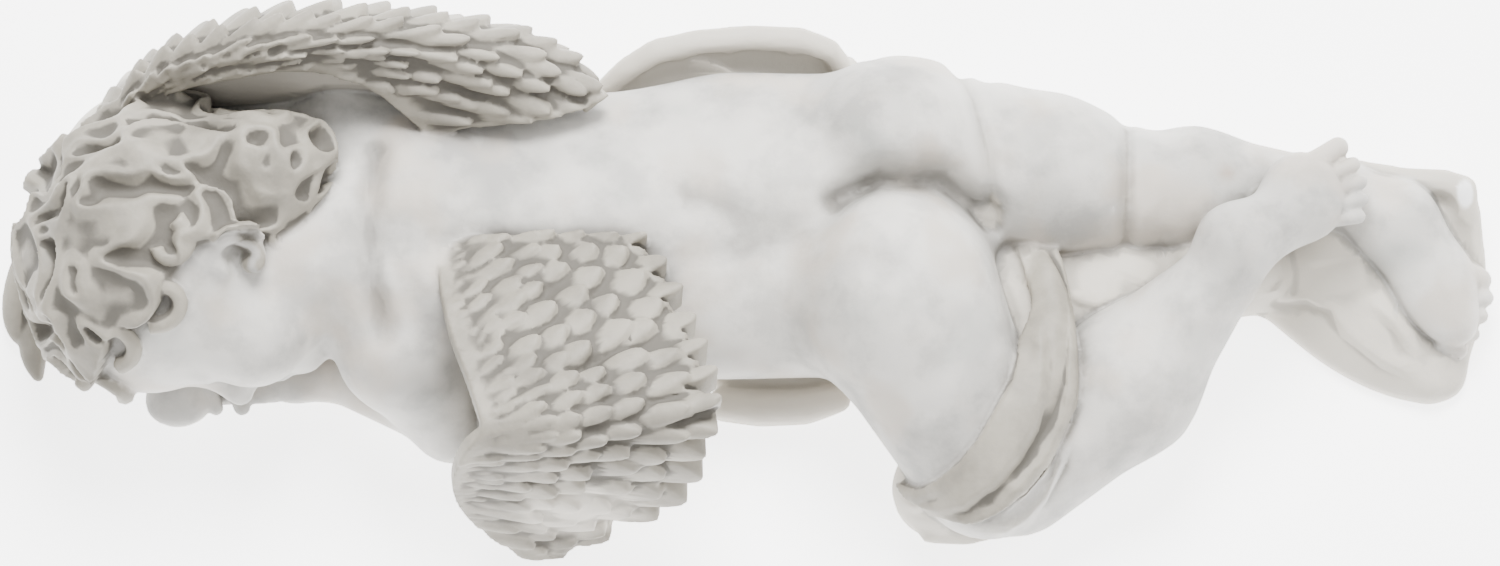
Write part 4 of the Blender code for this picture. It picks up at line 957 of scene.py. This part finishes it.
def hair_growth(directions):
    """Above nought where hair grows, for head-axes directions: the back and crown, down to the temples and nape."""
    forward, up = directions[:, 1], directions[:, 2]
    nape = up + NAPE_UP + NAPE_SLOPE * forward
    return np.minimum(np.interp(up, HAIRLINE_UP, HAIRLINE_FORWARD) - forward, nape)


def hair_ridges(places):
    """Winding locks of hair, from nought in the pits to 1 along the lips that edge the raised locks."""
    crests = []
    for place in (places / np.array(HAIR_CELL)).tolist():
        place = Vector(place)
        crests.append(noise.noise(place + noise.noise_vector(place * HAIR_WIND_CELL) * HAIR_WIND))
    crests = np.array(crests)
    body = np.clip(0.5 + crests / HAIR_BODY, 0, 1)
    lip = 1 / (1 + (crests / HAIR_CREST) ** 2)
    return HAIR_BODY_SHARE * body + (1 - HAIR_BODY_SHARE) * lip


def hair_swell(places):
    """Broad swellings of the hair, from -1 to 1."""
    return np.array([noise.noise(Vector(place) / HAIR_SWELL_CELL) for place in places.tolist()])


def add_hair_cap(clay):
    """A shell over the scalp, ridged where hair grows and sunk under the skin elsewhere."""
    shape = bmesh.new()
    bmesh.ops.create_icosphere(shape, subdivisions=round(HAIR_FINENESS), radius=1)
    directions = np.array([v.co for v in shape.verts])
    faces = [[v.index for v in f.verts] for f in shape.faces]
    shape.free()
    points, outward = on_skull(directions)
    places = (points - np.array(HEAD_CENTRE)) @ HEAD_AXES.T
    ridge = hair_ridges(places) * (1 + HAIR_SWELL * hair_swell(places))
    grown = np.clip((hair_growth(directions) + HAIR_RAG * (ridge - 0.5)) / HAIR_EDGE, 0, 1)
    lift = grown * (HAIR_BASE + HAIR_RELIEF * ridge) - (1 - grown) * HAIR_SUNK
    clay.add(points + outward * lift[:, None], faces)


def curl_line(middle, radius, start, turn):
    """The surface directions along a curl that winds inward round its middle."""
    middle = unit(middle)
    side = unit(np.cross(middle, (0.0, 0.0, 1.0)))
    across = np.cross(middle, side)
    steps = np.linspace(0, 1, CURL_POINTS)
    angles = np.radians(start + turn * steps)
    reach = radius / SKULL_RADIUS * (CURL_OPEN - (CURL_OPEN - CURL_CLOSED) * steps)
    return middle + side * (np.cos(angles) * reach)[:, None] + across * (np.sin(angles) * reach)[:, None]


def add_curl(data, line, radius, swell):
    points, outward = on_skull(line)
    points = points + outward * (CURL_LIFT * swell)[:, None]
    tube = data.splines.new("NURBS")
    tube.points.add(CURL_POINTS - 1)
    tube.use_endpoint_u = True
    tube.order_u = 3
    tube.resolution_u = 2
    for point, place, thick in zip(tube.points, points, swell):
        point.co = (*(place * UNIT), 1)
        point.radius = radius * thick * UNIT


def model_curls():
    """Curls along the hairline, as one curve of tapered tubes."""
    data = bpy.data.curves.new("curls", "CURVE")
    data.dimensions = "3D"
    data.bevel_depth = 1.0
    data.bevel_resolution = 2
    data.use_fill_caps = True
    share = np.linspace(0, 1, CURL_POINTS)
    for middle, radius, start, turn, thick in CURLS:
        add_curl(data, curl_line(middle, radius, start, turn), thick, 1 - CURL_TAPER * share)
    obj = bpy.data.objects.new("curls", data)
    bpy.context.scene.collection.objects.link(obj)
    graph = bpy.context.evaluated_depsgraph_get()
    mesh = bpy.data.meshes.new_from_object(obj.evaluated_get(graph))
    tubes = bpy.data.objects.new("curls", mesh)
    bpy.context.scene.collection.objects.link(tubes)
    bpy.data.objects.remove(obj)
    return tubes


def edge_relief(points, height, width, line):
    """The rise of cloth towards one edge, and its drop beyond it, at points in plan."""
    near = np.full(len(points), FAR_OFF)
    side, run = np.zeros(len(points)), np.zeros(len(points))
    length = 0.0
    for a, b in zip(line, line[1:]):
        a, b = np.array(a, float), np.array(b, float)
        along, reach = b - a, np.linalg.norm(b - a)
        t = np.clip((points - a) @ along / reach**2, 0, 1)
        offset = points - a - t[:, None] * along
        distance = np.linalg.norm(offset, axis=1)
        closer = distance < near
        near = np.where(closer, distance, near)
        side = np.where(closer, along[0] * offset[:, 1] - along[1] * offset[:, 0], side)
        run = np.where(closer, length + t * reach, run)
        length += reach
    fade = np.clip(np.minimum(run, length - run) / EDGE_ENDS, 0, 1)
    over = np.clip(0.5 + np.sign(side) * near / EDGE_SLOPE, 0, 1)
    rise = over * np.exp(-near / width) - (1 - over) * EDGE_DROP * np.exp(-near / (width * EDGE_FOOT))
    return height * fade * rise


def emboss(mesh):
    """Works the edges of the cloth into the upper side of the finished shape."""
    points, up = coordinates(mesh), normals(mesh)
    plan = points[:, :2] / UNIT
    relief = np.zeros(len(points))
    for height, width, ceiling, line in EDGES.values():
        box = np.array(line, float)
        near = np.all((plan > box.min(axis=0) - EDGE_REACH) & (plan < box.max(axis=0) + EDGE_REACH), axis=1)
        inside = np.flatnonzero(near & (up[:, 2] > 0) & (points[:, 2] < ceiling * UNIT))
        relief[inside] += edge_relief(plan[inside], height, width, line) * np.clip(up[inside, 2] / EDGE_STEEP, 0, 1)
    set_coordinates(mesh, points + up * (relief * UNIT)[:, None])


def joined(name, *objects):
    """One object of all their meshes; the objects go."""
    shape = bmesh.new()
    for obj in objects:
        shape.from_mesh(obj.data)
    mesh = bpy.data.meshes.new(name)
    shape.to_mesh(mesh)
    shape.free()
    for obj in objects:
        bpy.data.objects.remove(obj)
    whole = bpy.data.objects.new(name, mesh)
    bpy.context.scene.collection.objects.link(whole)
    return whole


def cut_flat(mesh):
    """Cuts the mesh off at the table and closes it with a flat face."""
    shape = bmesh.new()
    shape.from_mesh(mesh)
    geometry = shape.verts[:] + shape.edges[:] + shape.faces[:]
    bmesh.ops.bisect_plane(
        shape, geom=geometry, dist=1e-6, plane_co=(0, 0, 0), plane_no=(0, 0, 1), clear_inner=True
    )
    rim = [edge for edge in shape.edges if edge.is_boundary]
    bmesh.ops.holes_fill(shape, edges=rim, sides=0)
    bmesh.ops.triangulate(shape, faces=shape.faces[:])
    bmesh.ops.recalc_face_normals(shape, faces=shape.faces[:])
    shape.to_mesh(mesh)
    shape.free()


def keep_largest(mesh):
    """Keeps the figure and drops any loose crumb beside it."""
    shape = bmesh.new()
    shape.from_mesh(mesh)
    left, islands = set(shape.verts), []
    while left:
        island, front = set(), [left.pop()]
        while front:
            vert = front.pop()
            island.add(vert)
            for edge in vert.link_edges:
                other = edge.other_vert(vert)
                if other in left:
                    left.remove(other)
                    front.append(other)
        islands.append(island)
    islands.sort(key=len)
    for island in islands[:-1]:
        bmesh.ops.delete(shape, geom=list(island), context="VERTS")
    shape.to_mesh(mesh)
    shape.free()


def centre_in_plan(mesh):
    """Moves the mesh so that its bounding box is centred on the origin in X and Y."""
    points = coordinates(mesh)
    middle = (points.min(axis=0) + points.max(axis=0)) / 2
    set_coordinates(mesh, points - np.array([middle[0], middle[1], 0.0]))


def spread_directions(count):
    """Directions over the upper half of a ball, closer together near its pole."""
    directions = []
    for i in range(count):
        radius = math.sqrt((i + 0.5) / count)
        turn = i * math.pi * (3 - math.sqrt(5))
        directions.append((radius * math.cos(turn), radius * math.sin(turn), math.sqrt(1 - radius**2)))
    return np.array(directions)


def hollows(mesh):
    """For each vertex, the share of the directions above it that meet other stone within reach."""
    points, up = coordinates(mesh), normals(mesh)
    tree = BVHTree.FromPolygons(
        [tuple(p) for p in points.tolist()], [tuple(face.vertices) for face in mesh.polygons], all_triangles=False
    )
    side = np.cross(up, np.where(np.abs(up[:, 2:3]) < 0.9, (0.0, 0.0, 1.0), (1.0, 0.0, 0.0)))
    side /= np.linalg.norm(side, axis=1)[:, None]
    across = np.cross(up, side)
    start = points + up * 2e-4
    shut = np.zeros(len(points))
    cast = tree.ray_cast
    for x, y, z in spread_directions(HOLLOW_RAYS):
        ways = (side * x + across * y + up * z).tolist()
        for i, (origin, way) in enumerate(zip(start.tolist(), ways)):
            distance = cast(origin, way, HOLLOW_REACH)[3]
            if distance is not None:
                shut[i] += 1 - 0.6 * distance / HOLLOW_REACH
    return shut / HOLLOW_RAYS


def creases(mesh, rounds):
    """For each vertex, how far in metres it lies below the surface once that is smoothed; ridges are below nought."""
    points, up = coordinates(mesh), normals(mesh)
    ends = np.empty(len(mesh.edges) * 2, int)
    mesh.edges.foreach_get("vertices", ends)
    first, second = ends[0::2], ends[1::2]
    count = np.bincount(ends, minlength=len(points))
    smooth = points.copy()
    for _ in range(rounds):
        total = [
            np.bincount(first, smooth[second, k], len(points)) + np.bincount(second, smooth[first, k], len(points))
            for k in range(3)
        ]
        smooth = 0.5 * smooth + 0.5 * np.stack(total, axis=1) / count[:, None]
    return ((smooth - points) * up).sum(axis=1)


def mark(mesh, name, values):
    layer = mesh.attributes.new(name, "FLOAT", "POINT")
    layer.data.foreach_set("value", values.astype(np.float32))


# Marks on the surface, as seen from the camera: name, place and radii in plan units.
SPOTS = (
    ("stain", (477, 110), (9, 8)),
    # A painted highlight on the rolled end of the cloth by the far foot.
    ("painted_highlight", (720, 90), (9, 16)),
)


def mark_regions(mesh, shift):
    """Says of each vertex how far it is carved work rather than skin, and how deep it lies in a hollow."""
    points = (coordinates(mesh) - shift) / UNIT
    flesh = flesh_distance(points)
    for digits in (FAR_TOES, NEAR_TOES, FINGERS):
        flesh = np.minimum(flesh, digits_distance(points, digits))
    local = (points - np.array(HEAD_CENTRE)) @ HEAD_AXES.T
    grown = np.clip(hair_growth(local / np.linalg.norm(local, axis=1)[:, None]) / HAIR_EDGE, 0, 1)
    hair = grown * (1 - np.clip((np.abs(scalp_distance(points)) - 6.0) / 3.0, 0, 1))
    skin = (1 - np.clip((np.abs(flesh) - 2.0) / 3.0, 0, 1)) * (1 - hair)
    cloth = 1 - np.clip((np.abs(cloth_distance(points)) - 12.0) / 6.0, 0, 1)
    mark(mesh, "carved", 1 - skin)
    mark(mesh, "cloth", cloth * (1 - skin))
    mark(mesh, "hollow", hollows(mesh))
    mark(mesh, "crease", np.clip(creases(mesh, CREASE_ROUNDS) / CREASE_DEPTH, -1, 1))
    # How far each vertex lies in a dent of the skin, for the painted shade laid into the dents.
    dents = np.zeros(len(points))
    for line, width, depth in DENTS:
        dents = np.maximum(dents, dent_share(points, line, width * 1.2) * min(depth / 14, 1))
    mark(mesh, "dent_shade", dents * skin)
    seen = np.stack([points[:, 0], points[:, 1] * math.cos(VIEW_TILT) + points[:, 2] * math.sin(VIEW_TILT)], axis=1)
    for name, place, radii in SPOTS:
        spot = np.exp(-(((seen - np.array(place)) / np.array(radii)) ** 2).sum(axis=1))
        mark(mesh, name, spot * (normals(mesh)[:, 2] > 0))


class Wire:
    """A socket of a material that can be reckoned with: each sum adds the maths nodes it needs."""

    def __init__(self, tree, socket):
        self.tree, self.socket = tree, socket

    def maths(self, operation, *others):
        return node(self.tree, "ShaderNodeMath", {"operation": operation}, [self, *others])["Value"]

    def __add__(self, other):
        return self.maths("ADD", other)

    def __radd__(self, other):
        return self.maths("ADD", other)

    def __sub__(self, other):
        return self.maths("SUBTRACT", other)

    def __rsub__(self, other):
        return (self * -1).maths("ADD", other)

    def __mul__(self, other):
        return self.maths("MULTIPLY", other)

    def __rmul__(self, other):
        return self.maths("MULTIPLY", other)

    def __truediv__(self, other):
        return self.maths("DIVIDE", other)

    def power(self, other):
        return self.maths("POWER", other)

    def clamp(self):
        return node(self.tree, "ShaderNodeClamp", {}, {"Value": self})["Result"]

    def ramp(self, low, high):
        """Nought at low and 1 at high, eased between."""
        settings = {"interpolation_type": "SMOOTHSTEP"}
        return node(self.tree, "ShaderNodeMapRange", settings, {"Value": self, "From Min": low, "From Max": high})[
            "Result"
        ]


def node(tree, kind, settings, inputs):
    """Adds a node with its settings and inputs, values or wires, and gives its outputs by name."""
    made = tree.nodes.new(kind)
    for key, value in settings.items():
        setattr(made, key, value)
    pairs = inputs.items() if isinstance(inputs, dict) else enumerate(inputs)
    for key, value in pairs:
        if isinstance(value, Wire):
            tree.links.new(value.socket, made.inputs[key])
        else:
            made.inputs[key].default_value = value
    return {output.name: Wire(tree, output) for output in made.outputs if output.enabled}


MIX_FACTOR, MIX_FIRST, MIX_SECOND, MIX_RESULT = 0, 6, 7, 2


def mixed(tree, share, first, second):
    """A colour mixed from two, wires or colours."""
    made = tree.nodes.new("ShaderNodeMix")
    made.data_type = "RGBA"
    for index, value in ((MIX_FACTOR, share), (MIX_FIRST, first), (MIX_SECOND, second)):
        if isinstance(value, Wire):
            tree.links.new(value.socket, made.inputs[index])
        else:
            made.inputs[index].default_value = value
    return Wire(tree, made.outputs[MIX_RESULT])


def cloudy(tree, place, scale, detail=2.0, roughness=0.5):
    inputs = {"Vector": place, "Scale": scale, "Detail": detail, "Roughness": roughness}
    return node(tree, "ShaderNodeTexNoise", {}, inputs)["Fac"]


# Colours are linear.
SKIN_PALE = (0.62, 0.60, 0.56, 1)
SKIN_GREY = (0.35, 0.34, 0.32, 1)
SKIN_WARM = (0.50, 0.44, 0.37, 1)
SKIN_COOL = (0.42, 0.435, 0.41, 1)
CARVED_PALE = (0.31, 0.286, 0.237, 1)
CARVED_GREY = (0.165, 0.153, 0.128, 1)
CLOTH_PALE = (0.60, 0.56, 0.49, 1)
# Grey wash of the antique finish, which also carries painted shade in the hollows, creases and dents.
WASH_AND_SHADE = (0.075, 0.069, 0.059, 1)
SPECK = (0.09, 0.085, 0.07, 1)
STAIN = (0.27, 0.19, 0.13, 1)
# Near-white colour of the painted highlight on the rolled end of the cloth by the far foot.
HIGHLIGHT_PAINT = (0.9, 0.9, 0.9, 1)


def stone():
    """Pale stone resin: mottled skin, yellower carving, grey wash and painted shade in the hollows, fine grain and a
    few specks.
    """
    material = bpy.data.materials.new("cast_stone")
    material.use_nodes = True
    tree = material.node_tree
    surface = tree.nodes["Principled BSDF"]
    place = node(tree, "ShaderNodeTexCoord", {}, {})["Object"]
    carved = node(tree, "ShaderNodeAttribute", {"attribute_name": "carved"}, {})["Fac"]
    cloth = node(tree, "ShaderNodeAttribute", {"attribute_name": "cloth"}, {})["Fac"]
    hollow = node(tree, "ShaderNodeAttribute", {"attribute_name": "hollow"}, {})["Fac"]

    crease = node(tree, "ShaderNodeAttribute", {"attribute_name": "crease"}, {})["Fac"]
    dent_shade = node(tree, "ShaderNodeAttribute", {"attribute_name": "dent_shade"}, {})["Fac"]
    stain = node(tree, "ShaderNodeAttribute", {"attribute_name": "stain"}, {})["Fac"]
    painted_highlight = node(tree, "ShaderNodeAttribute", {"attribute_name": "painted_highlight"}, {})["Fac"]

    broad = cloudy(tree, place, 28, 3)
    blotch = cloudy(tree, place, 75, 4, 0.6)
    tint = cloudy(tree, place, 46, 2)
    grain = cloudy(tree, place, 900, 3, 0.6)

    skin = mixed(tree, broad.ramp(0.38, 0.64) * 0.7 + blotch.ramp(0.42, 0.66) * 0.45, SKIN_PALE, SKIN_GREY)
    skin = mixed(tree, tint.ramp(0.5, 0.68) * 0.6, skin, SKIN_WARM)
    skin = mixed(tree, (1 - tint.ramp(0.28, 0.45)) * 0.35, skin, SKIN_COOL)
    work = mixed(tree, blotch.ramp(0.35, 0.7) * 0.6, CARVED_PALE, CARVED_GREY)
    work = mixed(tree, cloth * 0.8, work, CLOTH_PALE)
    colour = mixed(tree, carved, skin, work)

    # Grey wash and painted shade: deepest in hollows, creases and the skin's dents, lighter on the ridges of the
    # carved work.
    skin_wash_and_shade = hollow.ramp(0.05, 0.55) * 0.55 + (dent_shade * (0.5 + blotch)).ramp(0.1, 1.0) * 0.3
    skin_wash_and_shade = skin_wash_and_shade + crease.ramp(0.25, 1.0) * 0.25
    low = hollow * 1.05 + crease * 1.3 + blotch * 0.6 - 0.1
    work_wash_and_shade = low.ramp(0.0, 0.9) * (0.86 - 0.52 * cloth)
    wash_and_shade = skin_wash_and_shade + (work_wash_and_shade - skin_wash_and_shade) * carved
    colour = mixed(tree, wash_and_shade.clamp(), colour, WASH_AND_SHADE)
    specks = cloudy(tree, place, 1500, 1).ramp(0.66, 0.72) * hollow.ramp(0.3, 0.6) * carved
    colour = mixed(tree, specks * 0.8, colour, SPECK)
    colour = mixed(tree, stain * 0.6, colour, STAIN)
    # Painted highlight: a near-white spot on the rolled end of the cloth by the far foot.
    colour = mixed(tree, (painted_highlight * (0.6 + blotch)).ramp(0.3, 0.7), colour, HIGHLIGHT_PAINT)

    tree.links.new(colour.socket, surface.inputs["Base Color"])
    roughness = 0.50 + grain * 0.12 + wash_and_shade * 0.25
    tree.links.new(roughness.socket, surface.inputs["Roughness"])
    surface.inputs["Metallic"].default_value = 0.0
    surface.inputs["Specular IOR Level"].default_value = 0.4
    height = grain * 0.5 + cloudy(tree, place, 260, 3) * (0.6 + carved * 0.8)
    bump = node(tree, "ShaderNodeBump", {}, {"Strength": 0.22, "Distance": 0.0006, "Height": height})["Normal"]
    tree.links.new(bump.socket, surface.inputs["Normal"])
    return material


def paper():
    """The pale sweep the figure lies on."""
    material = bpy.data.materials.new("sweep")
    material.use_nodes = True
    surface = material.node_tree.nodes["Principled BSDF"]
    surface.inputs["Base Color"].default_value = (0.93, 0.93, 0.93, 1)
    surface.inputs["Roughness"].default_value = 0.9
    surface.inputs["Emission Color"].default_value = (1, 1, 1, 1)
    surface.inputs["Emission Strength"].default_value = 3.4
    return material


def make_floor():
    shape = bmesh.new()
    bmesh.ops.create_grid(shape, x_segments=1, y_segments=1, size=3.0)
    mesh = bpy.data.meshes.new("floor")
    shape.to_mesh(mesh)
    shape.free()
    mesh.materials.append(paper())
    floor = bpy.data.objects.new("floor", mesh)
    bpy.context.scene.collection.objects.link(floor)


def make_light(name, energy, size, place, target):
    data = bpy.data.lights.new(name, "AREA")
    data.energy = energy
    data.shape = "DISK"
    data.size = size
    lamp = bpy.data.objects.new(name, data)
    lamp.location = place
    lamp.rotation_mode = "QUATERNION"
    lamp.rotation_quaternion = (Vector(target) - Vector(place)).to_track_quat("-Z", "Y")
    bpy.context.scene.collection.objects.link(lamp)


def make_studio():
    world = bpy.data.worlds.new("studio")
    world.use_nodes = True
    sky = world.node_tree.nodes["Background"]
    sky.inputs["Color"].default_value = (1, 1, 1, 1)
    sky.inputs["Strength"].default_value = 0.7
    bpy.context.scene.world = world
    make_light("overhead", 50, 0.7, (0.0, 0.75, 1.15), (0, 0, 0.03))
    make_light("side", 10, 0.7, (0.8, 0.2, 0.9), (0, 0, 0.03))
    make_light("front", 9, 0.9, (-0.2, -0.5, 1.3), (-0.05, 0, 0.03))


def make_camera(shift):
    data = bpy.data.cameras.new("camera")
    data.type = "PERSP"
    data.sensor_width = SENSOR * 1000
    back = Vector((0, -math.sin(VIEW_TILT), math.cos(VIEW_TILT)))
    data.lens = SENSOR * VIEW_DISTANCE / FRAME_WIDTH * 1000
    camera = bpy.data.objects.new("camera", data)
    camera.location = back * (VIEW_HEIGHT + VIEW_DISTANCE) + Vector(shift)
    camera.rotation_mode = "QUATERNION"
    camera.rotation_quaternion = (-back).to_track_quat("-Z", "Y")
    bpy.context.scene.collection.objects.link(camera)
    bpy.context.scene.camera = camera


def main():
    flesh = melt(rough_flesh(), flesh_distance, FLESH_VOXEL)
    cloth = melt(rough_cloth(), cloth_distance, FLESH_VOXEL)
    clay = Clay()
    add_wing(clay, NEAR_WING, NEAR_ROWS, NEAR_SWING)
    add_wing(clay, FAR_WING, FAR_ROWS, FAR_SWING)
    add_flight_feathers(clay, ball_template(*BALL_FINE))
    add_cloth_bands(clay)
    add_digits(clay)
    add_hair_cap(clay)
    angel = joined("angel", flesh, cloth, clay.object("carving"), model_curls())
    evaluated(angel, ("REMESH", {"mode": "VOXEL", "voxel_size": CARVING_VOXEL}))
    keep_largest(angel.data)
    emboss(angel.data)
    evaluated(angel, ("SMOOTH", {"factor": 0.4, "iterations": 1}))
    triangles = sum(len(face.vertices) - 2 for face in angel.data.polygons)
    evaluated(angel, ("DECIMATE", {"ratio": MOST_TRIANGLES * (1 + SUNK_SHARE) / triangles}))
    cut_flat(angel.data)
    keep_largest(angel.data)
    before = coordinates(angel.data)[0]
    centre_in_plan(angel.data)
    shift = coordinates(angel.data)[0] - before
    mark_regions(angel.data, shift)
    angel.data.polygons.foreach_set("use_smooth", [True] * len(angel.data.polygons))
    angel.data.materials.append(stone())
    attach(angel, "root")
    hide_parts("sleeping_angel")
    make_floor()
    make_studio()
    make_camera(shift)


main()
